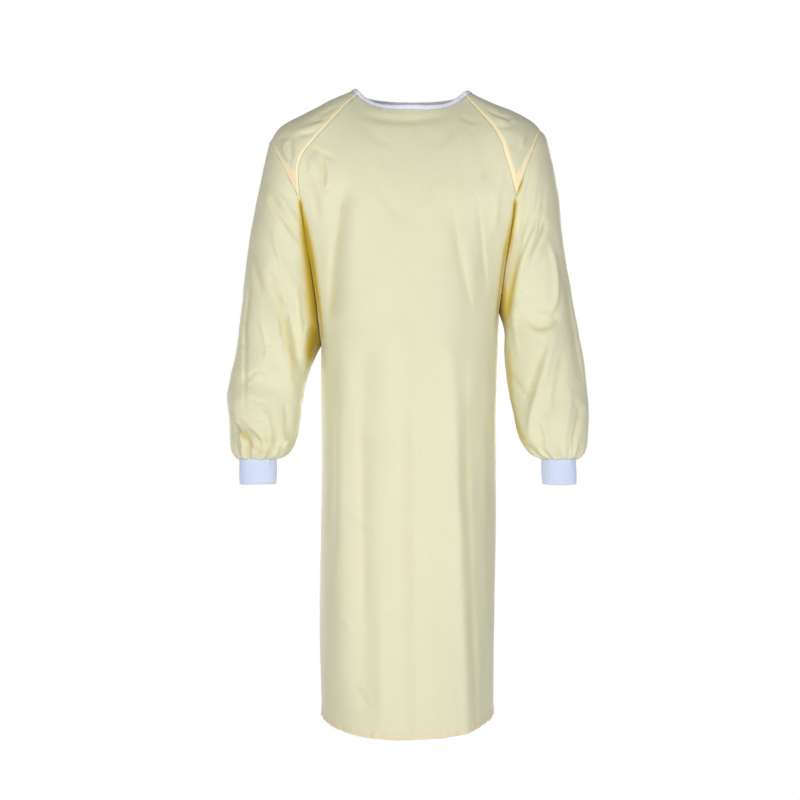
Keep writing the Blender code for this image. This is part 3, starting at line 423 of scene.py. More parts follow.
# Creases listed by piece and view: path (x, z), half width, rise, lean of its steeper
# side, and how much of it is left at its start and its end.
creases = {
    "front": {
        "front": [
            # from the armpits down the chest
            ([(-119, -205), (-134, -294), (-143, -400), (-146, -475)], 8.5, -2.6, 0.35, 0.3, 0),
            ([(-150, -420), (-148, -500), (-143, -590)], 8, 1.6, 0, 0, 0),
            ([(-176, -124), (-150, -136), (-124, -150)], 5.5, -1.7, -0.3, 0.8, 0),
            ([(-174, -140), (-176, -158), (-177, -178)], 10, 3, 0, 0.4, 0),
            ([(-160, -133), (-153, -165), (-155, -214)], 5.6, -2.7, -0.4, 0.2, 0),
            ([(-188, -182), (-182, -190), (-176, -198)], 2.8, -1, 0.2, 0.3, 0),
            ([(-140, -190), (-146, -200), (-153, -210)], 3.2, -1.1, 0.2, 0, 0),
            ([(-121, -218), (-126, -232), (-131, -250)], 3.4, -1.4, 0.4, 0.2, 0),
            ([(-190, -160), (-172, -205), (-164, -270)], 7, -1.8, 0.2, 0.6, 0),
            ([(82, -234), (92, -300), (108, -380), (124, -450)], 6.2, -1.3, -0.5, 0.4, 0),
            ([(100, -262), (112, -330), (124, -392)], 8.5, 0.8, 0, 0, 0),
            ([(127, -218), (136, -296), (147, -405)], 5.5, -1.3, -0.5, 0.4, 0),
            ([(168, -128), (150, -150), (132, -190)], 8, -1.5, 0.2, 0.7, 0),
            ([(92, -60), (114, -72), (138, -74)], 5.5, -1.1, 0.3, 0, 0.3),
            ([(176, -160), (162, -215), (160, -290)], 6.5, 1.6, 0, 0.5, 0),
            # under the neck and across the chest
            ([(-82, -60), (-8, -72), (70, -61)], 9, -2.2, 0, 0.3, 0.3),
            ([(-94, -70), (-60, -104), (-20, -126)], 10, -0.9, 0.2, 0, 0),
            ([(100, -70), (66, -108), (30, -130)], 11, -1, -0.2, 0, 0),
            ([(-62, -180), (-30, -236), (12, -268)], 12, -1, 0.2, 0, 0),
            ([(70, -170), (40, -226), (4, -262)], 12, 0.9, 0, 0, 0),
            # the long soft falls of the skirt
            ([(-146, -520), (-141, -680), (-146, -850)], 9, -2, 0.3, 0, 0),
            ([(-128, -560), (-126, -760), (-132, -960)], 10, 1.4, 0, 0, 0),
            ([(-86, -540), (-82, -800), (-78, -1080)], 9, -1.3, 0.2, 0, 0.3),
            ([(7, -500), (9, -820), (12, -1175)], 9.5, -1.6, -0.4, 0, 0.6),
            ([(-14, -520), (-14, -860), (-16, -1175)], 11, 1.2, 0, 0, 0.6),
            ([(84, -480), (87, -700), (98, -960), (106, -1175)], 9, 1.6, 0, 0, 0.6),
            ([(103, -500), (108, -740), (118, -1000), (124, -1170)], 9, -2, -0.4, 0, 0.5),
            ([(148, -560), (150, -800), (148, -1100)], 8, -1.4, 0.2, 0, 0),
            ([(-154, -860), (-150, -1000), (-150, -1160)], 8.5, 1.4, 0, 0, 0.5),
            ([(-50, -900), (-48, -1040), (-50, -1180)], 9.5, 1, 0, 0, 0.8),
            ([(50, -880), (54, -1030), (58, -1180)], 10, -1.1, 0, 0, 0.8),
            # faint wrinkles across the skirt
            ([(56, -806), (82, -832), (108, -856)], 6.5, -1, 0.3, 0, 0),
            ([(64, -902), (86, -922), (108, -940)], 6, -0.9, 0.3, 0, 0),
            ([(-98, -1092), (-82, -1118), (-68, -1140)], 7, -1.2, -0.3, 0, 0),
            ([(-100, -640), (-66, -672), (-30, -690)], 8, -0.8, 0.2, 0, 0),
            ([(50, -640), (22, -668), (-12, -680)], 8, 0.8, 0, 0, 0),
            ([(-110, -790), (-74, -806), (-40, -836)], 8.5, 0.8, 0, 0, 0),
            ([(-60, -960), (-22, -990), (20, -1000)], 8.5, -0.8, 0.2, 0, 0),
            ([(96, -1020), (62, -1052), (22, -1064)], 8, 0.8, 0, 0, 0),
            ([(140, -690), (112, -722), (86, -738)], 7, -0.9, 0, 0, 0),
            ([(-140, -960), (-112, -986), (-90, -1020)], 7, 0.9, 0, 0, 0),
        ],
    },
    "back": {
        "back": [
            # from the armpits and down the skirt
            ([(-116, -220), (-130, -330), (-138, -450), (-142, -560)], 9, -2.6, 0.3, 0.2, 0),
            ([(120, -214), (132, -320), (139, -440), (140, -540)], 9, -2.6, -0.3, 0.2, 0),
            ([(-172, -150), (-150, -200), (-142, -270)], 7.5, -1.8, 0, 0.5, 0),
            ([(168, -146), (150, -196), (144, -262)], 7.5, -1.8, 0, 0.5, 0),
            ([(-80, -58), (-52, -110), (-40, -190)], 10, -1.4, 0.2, 0.2, 0),
            ([(86, -56), (58, -108), (44, -180)], 10, -1.4, -0.2, 0.2, 0),
            ([(-98, -430), (-106, -740), (-116, -1175)], 10, 1.7, 0, 0, 0.6),
            ([(-74, -520), (-82, -820), (-88, -1175)], 9.5, -1.8, 0.3, 0, 0.6),
            ([(78, -520), (86, -820), (92, -1175)], 9.5, -1.8, -0.3, 0, 0.6),
            ([(102, -460), (112, -780), (122, -1175)], 10, 1.7, 0, 0, 0.6),
            ([(6, -320), (-4, -700), (-10, -1180)], 11, 1.2, 0, 0, 0.6),
            ([(-30, -560), (-34, -860), (-36, -1180)], 10, -1.3, 0, 0, 0.6),
            ([(28, -640), (32, -900), (36, -1180)], 10, -1.2, 0, 0, 0.6),
            ([(-148, -640), (-150, -840), (-146, -1100)], 8.5, -1.5, 0, 0, 0),
            ([(148, -620), (150, -860), (148, -1120)], 8.5, -1.5, 0, 0, 0),
            ([(-90, -700), (-60, -730), (-30, -742)], 7.5, -0.9, 0, 0, 0),
            ([(100, -860), (70, -892), (40, -906)], 7.5, 0.9, 0, 0, 0),
            ([(-70, -980), (-40, -1006), (-6, -1020)], 8, -0.9, 0, 0, 0),
            ([(60, -420), (30, -452), (-4, -470)], 9, 0.9, 0, 0, 0),
        ],
    },
    "shoulder_right": {  # drags from the neck and over the shoulder
        "front": [
            ([(-118, -40), (-158, -58), (-196, -84)], 7.5, -1.6, 0.2, 0.2, 0),
            ([(-150, -74), (-182, -86), (-220, -94)], 6.5, 1.4, 0, 0.2, 0),
            ([(-229, -108), (-226, -128), (-220, -152)], 4.5, 2.2, 0, 0.3, 0.3),
            ([(-219, -104), (-215, -128), (-212, -150)], 4.2, -2.4, 0.3, 0.3, 0.3),
            ([(-134, -62), (-156, -69), (-182, -70)], 4, -1.8, 0.3, 0.4, 0),
            ([(-166, -92), (-186, -97), (-206, -94)], 4, -1.8, 0.3, 0.4, 0),
            ([(-196, -116), (-212, -104), (-240, -100)], 6, -1.5, -0.2, 0.3, 0.3),
            ([(-206, -170), (-212, -148), (-228, -124)], 5.5, 1.4, 0, 0.3, 0.3),
        ],
        "back": [
            ([(-124, -46), (-164, -64), (-204, -90)], 8, -1.6, 0, 0.2, 0),
            ([(-190, -130), (-210, -116), (-236, -104)], 7, 1.4, 0, 0.3, 0.2),
        ],
    },
    "shoulder_left": {
        "front": [
            ([(136, -46), (170, -62), (204, -80)], 7, -1.5, 0.2, 0.2, 0),
            ([(160, -68), (184, -70), (206, -70)], 5, 1.3, 0, 0.2, 0),
            ([(150, -80), (170, -87), (184, -83), (196, -73)], 4, -1.8, 0.4, 0.5, 0),
            ([(148, -52), (168, -60), (192, -70)], 3.4, -1.2, 0.3, 0.4, 0),
            ([(206, -122), (212, -102), (222, -88)], 4.2, 2.2, 0, 0.3, 0.3),
            ([(184, -126), (202, -108), (226, -92)], 6, -1.4, -0.2, 0.3, 0.3),
        ],
        "back": [
            ([(132, -50), (172, -68), (208, -84)], 8, -1.6, 0, 0.2, 0),
            ([(184, -132), (204, -114), (228, -96)], 7, 1.4, 0, 0.3, 0.2),
        ],
    },
    "sleeve_right": {
        "front": [
            ([(-262, -196), (-232, -246), (-196, -296)], 7, -2.6, 0.35, 0.2, 0.2),
            ([(-246, -196), (-222, -232), (-202, -262)], 6.5, 1.8, 0, 0.2, 0.2),
            ([(-252, -262), (-232, -330), (-206, -392)], 7.5, 2.2, 0.2, 0, 0.2),
            ([(-262, -340), (-238, -378), (-220, -420)], 7, -2.6, -0.3, 0, 0),
            ([(-292, -296), (-282, -345), (-266, -395)], 7, -2, 0.2, 0, 0),
            ([(-238, -404), (-226, -470), (-213, -552)], 8, 2.6, 0.3, 0, 0),
            ([(-220, -410), (-208, -470), (-200, -540)], 6, -2.4, -0.3, 0.2, 0),
            ([(-292, -348), (-303, -423), (-305.5, -466), (-301.5, -604)], 4, -2.2, 0.6, 0, 0.2),
            ([(-257, -170), (-288, -262), (-300, -381)], 4.5, -1.2, 0.2, 0, 0),
            ([(-193, -486), (-189, -452), (-182, -440), (-175, -452)], 3.4, 2, 0, 0.3, 0),
            ([(-207, -360), (-199, -450), (-193, -512)], 4.5, 2, 0.3, 0, 0.2),
            ([(-286, -640), (-276, -656), (-268, -680)], 3.6, 2.2, 0.2, 0.2, 0.6),
            ([(-308, -634), (-297, -656), (-290, -682)], 3.4, -2.2, 0.2, 0, 0.5),
            ([(-290, -628), (-268, -652), (-250, -678)], 3.6, -2, -0.3, 0, 0.5),
            ([(-275, -430), (-262, -478), (-258, -520)], 5, 1.2, 0, 0, 0),
            ([(-296, -546), (-285, -534), (-270, -531), (-260, -546), (-250, -551)
              ], 2.4, -1.4, 0.4, 0.2, 0),
            ([(-300, -556), (-288, -549), (-278, -556)], 2.2, 1.1, 0, 0, 0),
            ([(-292, -580), (-272, -588), (-250, -584)], 2.4, -1.1, 0.3, 0, 0),
            ([(-327, -588), (-316, -614), (-295, -636), (-268, -663)], 3, 4, 0.3, 0, 0.3),
            ([(-329, -602), (-318, -626), (-302, -646), (-282, -672)], 3.2, -3.6, 0.3, 0, 0.4),
            ([(-316, -600), (-306, -640), (-298, -680)], 3.4, 2, 0, 0, 0.6),
            ([(-252, -664), (-240, -672), (-231, -682)], 3, -2, 0.2, 0, 0.5),
            ([(-218, -650), (-224, -664), (-231, -681)], 3.2, 2, 0, 0, 0.5),
            ([(-262, -596), (-254, -632), (-250, -672)], 6, 2.2, 0, 0, 0.5),
            ([(-236, -640), (-226, -660), (-222, -676)], 6, 2, 0, 0, 0.3),
            ([(-230, -580), (-222, -612), (-226, -648)], 5.5, -1.8, 0, 0, 0),
        ],
        "back": [
            ([(-262, -220), (-236, -300), (-208, -372)], 8, 2.4, 0.2, 0, 0.2),
            ([(-280, -270), (-256, -350), (-226, -420)], 7.5, -2.6, 0.2, 0, 0),
            ([(-300, -440), (-262, -470), (-222, -476)], 7.5, -3, 0.3, 0, 0),
            ([(-306, -486), (-270, -510), (-230, -522)], 7, 2.2, 0, 0, 0),
            ([(-312, -530), (-284, -562), (-240, -580)], 6.5, -2.4, 0.3, 0, 0),
            ([(-312, -596), (-292, -640), (-272, -680)], 6.5, 2.6, 0, 0, 0.5),
            ([(-270, -602), (-256, -640), (-250, -676)], 6, -2.2, 0, 0, 0.4),
        ],
    },
    "sleeve_left": {
        "front": [
            ([(248, -236), (212, -322), (190, -392)], 7.5, 2.8, 0.3, 0, 0.2),
            ([(228, -160), (212, -216), (199, -290)], 3.6, -1.4, 0.2, 0.2, 0),
            ([(238, -165), (224, -244), (202, -330)], 4.4, 1.5, 0, 0.2, 0),
            ([(252, -180), (239, -271), (219, -354)], 4.4, -1.4, 0.2, 0, 0),
            ([(193, -400), (197, -450), (206, -520)], 4.8, 1.4, 0, 0, 0),
            ([(226, -600), (236, -632), (250, -664)], 4, -1.4, 0.2, 0, 0.2),
            ([(258, -284), (272, -337), (273, -396), (260, -421), (244, -428), (229, -421), (222, -410)
              ], 5.8, 3, 0, 0, 0),
            ([(215, -428), (226, -443), (244, -450), (267, -440), (283, -412)], 7.2, -2.8, 0.25, 0, 0),
            ([(203, -322), (192, -364), (187, -401), (182, -446)], 7, -2.8, 0.3, 0, 0),
            ([(254, -246), (245, -284), (230, -311), (212, -334)], 5, -2.2, 0.2, 0, 0),
            ([(186, -530), (198, -552), (220, -577)], 5, -2.8, 0.4, 0.3, 0),
            ([(272, -442), (243, -545), (226, -604), (219, -662)], 8, 3.2, 0.3, 0, 0.3),
            ([(252, -470), (226, -546), (210, -610)], 7, -2.6, 0.3, 0, 0),
            ([(292, -470), (272, -556), (262, -640)], 8, -1.8, 0.2, 0, 0),
            ([(290, -318), (308, -440), (326, -576)], 7, -2.2, -0.4, 0, 0),
            ([(300, -560), (290, -612), (278, -670)], 6.5, 2.4, 0.2, 0, 0.5),
            ([(318, -590), (306, -634), (298, -676)], 6, -2.2, 0.2, 0, 0.4),
            ([(250, -600), (250, -636), (254, -674)], 6, 2.2, 0, 0, 0.5),
        ],
        "back": [
            ([(258, -212), (232, -292), (206, -360)], 8, 2.4, 0.2, 0, 0.2),
            ([(276, -262), (250, -342), (222, -410)], 7.5, -2.6, 0.2, 0, 0),
            ([(296, -430), (260, -462), (222, -470)], 7.5, -3, 0.3, 0, 0),
            ([(302, -480), (268, -506), (228, -516)], 7, 2.2, 0, 0, 0),
            ([(308, -536), (280, -566), (240, -586)], 6.5, -2.4, 0.3, 0, 0),
            ([(310, -600), (292, -640), (272, -680)], 6.5, 2.6, 0, 0, 0.5),
            ([(268, -606), (256, -640), (252, -676)], 6, -2.2, 0, 0, 0.4),
        ],
    },
}
# Painted warm shade where cloth faces cloth, by piece and view: lines of x, z, half width and strength.
warmShades = {
    "sleeve_right": {
        "front": [
            [(-199, -205, 3, 0.2), (-194, -235, 7, 0.7), (-188, -285, 9, 0.9), (-178, -345, 12, 1.0),
             (-168, -410, 17, 1.0), (-161, -462, 19, 0.9), (-168, -492, 12, 0.6), (-180, -520, 6, 0.2)],
            [(-178, -436, 7, 0.5), (-174, -464, 13, 1.0), (-181, -492, 10, 0.9), (-187, -520, 5, 0.2)],
            [(-238, -404, 5, 0.1), (-222, -476, 7, 0.22), (-210, -552, 5, 0.15)],
            [(-328, -604, 2.5, 0.2), (-312, -634, 3, 0.35), (-284, -668, 3.5, 0.3), (-262, -680, 3, 0.2)],
            [(-286, -640, 9, 0.05), (-256, -656, 10, 0.13), (-226, -654, 7, 0.05)],
        ],
        "back": [
            [(-197, -226, 3, 0.1), (-186, -300, 8, 0.7), (-170, -390, 11, 0.8), (-162, -456, 12, 0.6),
             (-172, -500, 6, 0.2)],
        ],
    },
    "front": {
        "front": [
            [(-194, -222, 3, 0.2), (-189, -262, 6, 0.7), (-181, -306, 7, 0.8), (-172, -360, 6, 0.7),
             (-164, -415, 4, 0.6), (-158, -466, 3, 0.3)],
            [(193, -222, 2, 0.1), (184, -280, 3, 0.5), (176, -324, 4, 0.6), (167, -403, 3, 0.5),
             (160, -452, 2, 0.2)],
        ],
    },
    "sleeve_left": {
        "front": [
            [(212, -172, 2, 0.1), (206, -188, 3, 0.7), (200, -204, 3, 0.5), (196, -216, 2, 0.1)],
            [(196, -226, 3, 0.1), (191, -262, 5, 0.6), (185, -296, 6, 0.9), (178, -326, 5, 0.9),
             (173, -350, 6, 0.7), (172, -386, 12, 0.8), (169, -430, 16, 0.9), (170, -462, 12, 0.7),
             (180, -490, 6, 0.3)],
            [(184, -480, 4, 0.2), (188, -540, 5, 0.4), (193, -600, 4, 0.2)],
            [(206, -312, 4, 0.1), (193, -360, 7, 0.45), (186, -402, 7, 0.6), (180, -446, 5, 0.4)],
            [(180, -520, 4, 0.2), (187, -568, 4.5, 0.55), (198, -622, 4.5, 0.55), (214, -660, 4, 0.35),
             (228, -678, 3, 0.2)],
            [(214, -428, 4, 0.05), (244, -450, 6, 0.1), (276, -430, 4, 0.05)],
        ],
        "back": [
            [(195, -226, 3, 0.1), (186, -300, 8, 0.7), (171, -380, 11, 0.8), (163, -446, 12, 0.6),
             (173, -486, 6, 0.2)],
        ],
    },
    "back": {
        "back": [
            [(-192, -230, 3, 0.1), (-179, -306, 6, 0.6), (-166, -400, 5, 0.5), (-159, -466, 3, 0.2)],
            [(190, -230, 3, 0.1), (179, -306, 6, 0.6), (166, -396, 5, 0.5), (160, -452, 3, 0.2)],
        ],
    },
}
views = {"front": np.array([0.0, -1.0, 0.0]), "back": np.array([0.0, 1.0, 0.0])}
folding = {
    "facing": 1.8,                # how soon a fold fades on cloth that turns away
    "reach": 3.2,                 # half widths on each side that a crease is worked out for
    "wander": 0.22,               # unevenness along a crease
    "fadeAt": (0, 0.3, 0.65, 1),  # shares of its length between which it comes and goes
    "pathPoints": 14,
}
shading = {"facing": (3, 1), "reach": 3, "pathPoints": 20}


def pathDistance(flat, path):  # each point's distance from a path, its side, and the share along it
    lengths, run = np.linalg.norm(np.diff(path, axis=0), axis=1), runAlong(path)
    best = np.full(len(flat), 1e9)
    sideways, share = np.zeros(len(flat)), np.zeros(len(flat))
    for start, end, length, before in zip(path, path[1:], lengths, run):
        along = np.clip(((flat - start) @ (end - start)) / length ** 2, 0, 1)
        away = flat - start - along[:, None] * (end - start)
        off = np.linalg.norm(away, axis=1)
        nearer = off < best
        turn = np.sign((end - start)[0] * away[:, 1] - (end - start)[1] * away[:, 0])
        best = np.where(nearer, off, best)
        sideways = np.where(nearer, turn, sideways)
        share = np.where(nearer, (before + along * length) / run[-1], share)
    return best, sideways, share


def mainHeight(points, normals):
    height = np.zeros(points.shape[:2])
    flat = points[..., [0, 2]]
    for view, start, end, halfWidth, rise in mainFolds:
        start, end = np.array(start) / 1000, np.array(end) / 1000
        run = end - start
        along = np.clip(((flat - start) @ run) / (run @ run), 0, 1)
        off = np.linalg.norm(flat - start - along[..., None] * run, axis=2)
        facing = np.clip((normals @ views[view]) * folding["facing"], 0, 1)
        height += rise / 1000 * np.exp(-(off * 1000 / halfWidth) ** 2) * facing
    return height


def boxed(flat, line, reach):  # which points lie in the box round a line
    return np.all((flat > line.min(0) - reach) & (flat < line.max(0) + reach), axis=2)


def creaseHeight(name, points, normals):
    height = np.zeros(points.shape[:2])
    flat = points[..., [0, 2]]
    rows = [(view, *row) for view, table in creases[name].items() for row in table]
    for view, path, halfWidth, rise, lean, atStart, atEnd in rows:
        path = smoothLine(np.array(path) / 1000, np.linspace(0, 1, folding["pathPoints"]))
        halfWidth, rise = halfWidth / 1000, rise / 1000
        near = boxed(flat, path, folding["reach"] * halfWidth) & ((normals @ views[view]) > 0)
        off, turn, share = pathDistance(flat[near], path)
        width = halfWidth * np.where(turn > 0, 1 + lean, 1 - lean)
        wander = np.sin(share * 11 + 40 * rise * 1000) * np.sin(share * 5 + 1)
        fade = smoothStep(np.interp(share, folding["fadeAt"], (atStart, 1, 1, atEnd)))
        fade = fade * (1 + folding["wander"] * wander)
        facing = np.clip((normals[near] @ views[view]) * folding["facing"], 0, 1)
        height[near] += rise * fade * np.exp(-(off / width) ** 2) * facing
    return height


# painted warm shade: a mask from the listed lines
def shadeOf(name, points, normals):
    shade = np.zeros(points.shape[:2])
    flat = points[..., [0, 2]]
    rows = [(view, line) for view, table in warmShades.get(name, {}).items() for line in table]
    for view, line in rows:
        line = np.array(line) / (1000, 1000, 1000, 1)
        path = smoothLine(line, np.linspace(0, 1, shading["pathPoints"]))
        line = path[:, :2]
        near = boxed(flat, line, shading["reach"] * path[:, 2].max())
        off, _, share = pathDistance(flat[near], line)
        run = runAlong(line)
        halfWidth, strength = (np.interp(share, run / run[-1], path[:, column]) for column in (2, 3))
        steep, least = shading["facing"]
        facing = np.clip((normals[near] @ views[view]) * steep + least, 0, 1)
        shade[near] = np.maximum(shade[near], strength * np.exp(-(off / halfWidth) ** 2) * facing)
    return shade


def rimDistance(grid, rim, rows, columns, band=0.05):  # from the points of some of a grid to an edge
    distance = np.full(grid.shape[:2], band)
    part = grid[rows, columns].reshape(-1, 3)
    best = np.full(len(part), band)
    for start, end in zip(rim, rim[1:]):
        length = (end - start) @ (end - start)
        if length < 1e-14:
            continue
        along = np.clip(((part - start) @ (end - start)) / length, 0, 1)
        off = part - start - along[:, None] * (end - start)
        best = np.minimum(best, np.sqrt(np.einsum("ij,ij->i", off, off)))
    distance[rows, columns] = best.reshape(grid[rows, columns].shape[:2])
    return distance


nearRows = len(weave["seamSteps"]) + 8     # grid lines that a seam's relief reaches
ends = {"first": slice(0, nearRows), "last": slice(-nearRows, None)}
every = slice(None)


def allEdges(grid):
    return {"right": rimDistance(grid, grid[:, 0], every, ends["first"]),
            "left": rimDistance(grid, grid[:, -1], every, ends["last"]),
            "top": rimDistance(grid, grid[0], ends["first"], every),
            "bottom": rimDistance(grid, grid[-1], ends["last"], every)}


creaseGain = {"front": 1.35, "back": 1.35, "shoulder": 1.5, "sleeve": 1.6}
seam = {
    "groove": 0.0007, "grooveWidth": 0.0013,
    # widths at the neck and at the armpit
    "raglanBand": {"right": (0.0046, 0.0058), "left": (0.0046, 0.0092)},
    # widths on the arm's outer side and near its armpit ends
    "crossBand": {"right": (0.0045, 0.0180), "left": (0.0045, 0.0125)},
    "raglanWidening": 1.15, "crossWidening": (0.25, 1.5),  # where along its seam a band widens
    "raise": 0.0006,
    "bandEdge": 0.0006,           # half the width of a band's rounded edge
    "stitchInset": 0.0011, "sideInset": 0.0018,
}
hem = {"stitchLine": 0.0105, "raise": 0.0007, "overlap": 0.0004, "edge": 0.0010,
       "groove": 0.0005, "grooveWidth": 0.0010}
# waves that make up a pucker: share of its length, share of its strength
puckerWaves = ((1, 1), (1.37, 0.8), (0.71, 0.6), (2.1, 0.7), (0.53, 0.4), (3.3, 0.5))
# wave length, strength, seed, and how far from its line a pucker reaches
puckerings = {
    "shoulder": (0.017, 0.00022, 3, 0.012),
    "panel": (0.016, 0.00022, 5, 0.010),
    "hemFold": (0.021, 0.0011, 11, 0.013),
    "hemStitch": (0.0075, 0.0008, 19, 0.0060),
    "neck": (0.015, 0.0004, 13, 0.011),
}


def nearLine(distance, width):  # 1 on a line, and nothing some widths away from it
    return np.exp(-(distance / width) ** 2)


def raised(distance, width, edge):  # 1 on a band along an edge, down to 0 past its rounded side
    return smoothStep((width + edge - distance) / (2 * edge))


def bandHeight(distance, width):  # seam allowance turned to one side under the cloth
    band = raised(distance, width, seam["bandEdge"])
    return seam["raise"] * band - seam["groove"] * nearLine(distance, seam["grooveWidth"])


def puckers(along, length, strength, seed):  # unevenly spaced small waves along a seam
    phases = np.random.default_rng(seed).uniform(0, 2 * math.pi, len(puckerWaves))
    waves = sum(np.sin(2 * math.pi * along / (length * ratio) + phase) * share
                for (ratio, share), phase in zip(puckerWaves, phases))
    return strength * waves / 2


def puckered(kind, along, distance):
    *waves, reach = puckerings[kind]
    return puckers(along, *waves) * nearLine(distance, reach)


def crossWidths(name, columns):
    low, high = seam["crossBand"][name.split("_")[1]]
    start, growth = seam["crossWidening"]
    return low + (high - low) * smoothStep((np.abs(np.linspace(-1, 1, columns)) - start) * growth)


def raglanWidths(name, rows):
    low, high = seam["raglanBand"][name.split("_")[1]]
    return low + (high - low) * smoothStep(np.linspace(0, 1, rows) * seam["raglanWidening"])


def gridRuns(grid):  # how far across and down a grid each of its points lies
    across = np.pad(np.linalg.norm(np.diff(grid, axis=1), axis=2), ((0, 0), (1, 0)))
    down = np.pad(np.linalg.norm(np.diff(grid, axis=0), axis=2), ((1, 0), (0, 0)))
    return np.cumsum(across, axis=1), np.cumsum(down, axis=0)


def relief(name, grid, edges):  # seams and hem, on top of the folds
    height = np.zeros(grid.shape[:2])
    across, down = gridRuns(grid)
    near = np.minimum(edges["right"], edges["left"])
    if name.startswith("shoulder"):
        for edge in ("right", "left"):
            height += bandHeight(edges[edge], raglanWidths(name, len(grid))[:, None])
        height += bandHeight(edges["bottom"], crossWidths(name, grid.shape[1]))
        height += puckered("shoulder", down, np.minimum(near, edges["bottom"]))
    else:
        if name.startswith("sleeve"):
            near = np.minimum(near, edges["top"])
        height -= seam["groove"] * nearLine(near, seam["grooveWidth"])
        height += puckered("panel", down, near)
    if name in ("front", "back"):
        edge = edges["bottom"]
        fromStitches = edge - hem["stitchLine"]
        height += hem["raise"] * smoothStep((body["hemDepth"] + hem["overlap"] - edge) / hem["edge"])
        height -= hem["groove"] * nearLine(fromStitches, hem["grooveWidth"])
        height += puckered("hemFold", across, edge)
        height += puckered("hemStitch", across, fromStitches)
        height += puckered("neck", across, edges["top"])
    return height, across, down


def gatherHeight(side, grid, depths):  # folds drawn into the cuff, uneven in depth and width
    sign = lines[side]["sign"]
    rings = grid[armpitRow:]
    away = rings - rings.mean(axis=1, keepdims=True)
    reach = (rings.max(axis=1) - rings.min(axis=1))[:, None, :] / 2
    angle = np.arctan2(away[..., 1] / reach[..., 1], sign * away[..., 0] / reach[..., 0])
    wide = np.cos(angle * sleeve["gathers"]) * (1 + sleeve["unevenGathers"] * np.sin(3 * angle + sign))
    drift = 0.5 * np.sin(2 * angle + sign) + 0.35 * np.sin(5 * angle)
    fine = np.cos(angle * sleeve["fineGathers"] + drift * 3) * (0.45 + 0.35 * np.sin(4 * angle - sign))
    toEnd = (rings[..., 2].mean(axis=1) - rings[-1, 0, 2]) / sleeve["gatherLength"]
    toEnd = np.clip(toEnd, 0, 1)[:, None]
    far = sleeve["farGathers"][side]
    depth = depths[armpitRow:, None] * (far + (1 - far) * nearLine(toEnd, sleeve["gatherFade"]))
    wideShare, fineShare = sleeve["gatherShares"]
    lip = nearLine(toEnd, sleeve["lipReach"])
    height = np.zeros(grid.shape[:2])
    height[armpitRow:] = depth * (wideShare * wide + fineShare * fine * (1 - toEnd) ** 0.6)
    height[armpitRow:] += (sleeve["swell"] * np.cos(angle * 7 + 1.3 * sign)
                           * smoothStep(1 - toEnd * 0.9) * (toEnd > 0))
    height[armpitRow:] += sleeve["lip"] * lip
    middle, slow, quick = sleeve["scallop"]
    scallop = middle + slow * np.cos(angle * 11 + 2 * np.sin(2 * angle)) + quick * np.sin(angle * 23)
    return height, scallop * lip - sleeve["raisedEnd"] * smoothStep(1 - toEnd)


slack = {
    "waves": 14, "strength": 0.00016, "lengths": (0.035, 0.11), "depthTurn": 0.7,
    # slant and lengthwise stretch of the waves on the body and on the sleeves
    "upright": ((-0.3, 0.3), (0.16, 0.30)), "slanted": ((-1.0, 1.0), (0.3, 0.7)),
}


def slackWaves(name, points, seed):  # the soft unevenness of hanging cloth
    draws = np.random.default_rng(seed)
    height = np.zeros(points.shape[:2])
    x, y, z = points[..., 0], points[..., 1], points[..., 2]
    slants, stretches = slack["upright" if name in ("front", "back") else "slanted"]
    for _ in range(slack["waves"]):
        length = draws.uniform(*slack["lengths"])
        slant = draws.uniform(*slants)
        stretch = draws.uniform(*stretches)
        phase = draws.uniform(0, 2 * math.pi, 2)
        place = x + y * slack["depthTurn"] + slant * z
        across = np.sin(2 * math.pi * place / length + phase[0])
        height += slack["strength"] * across * np.sin(2 * math.pi * z * stretch / length + phase[1])
    return height


easing = {"rounds": 160, "margin": 0.045}


def eased(grid):  # rows run on smoothly past the armpit, away from the edges
    rims = (grid[:, :1], grid[:, -1:], grid[:1], grid[-1:])
    edge = np.minimum.reduce([np.linalg.norm(grid - rim, axis=2) for rim in rims])
    weight = smoothStep(edge[1:-1] / easing["margin"])[..., None]
    for _ in range(easing["rounds"]):
        grid[1:-1] += weight * ((grid[:-2] + grid[2:]) / 2 - grid[1:-1]) / 2
    return grid


print("laying the skin")
grids = {"front": eased(bodyGrid("front")[0])}
grids["back"], lapDrops = bodyGrid("back")
grids["back"] = eased(grids["back"])
flips = {"front": False, "back": True}
gatherDepths, armpitRow = {}, len(armholeAt) - 1
for side in lines:
    grids["shoulder_" + side] = shoulderGrid(side)
    grids["sleeve_" + side], gatherDepths[side] = sleeveGrid(side)
    flips["shoulder_" + side] = flips["sleeve_" + side] = side == "right"


def seamNormals():  # straight down under the arms, where three pieces meet
    underarms = [(grids["sleeve_" + side][armpitRow, 0], np.array([0.0, 0.0, -1.0])) for side in lines]
    return skinNormals(grids, flips, underarms)


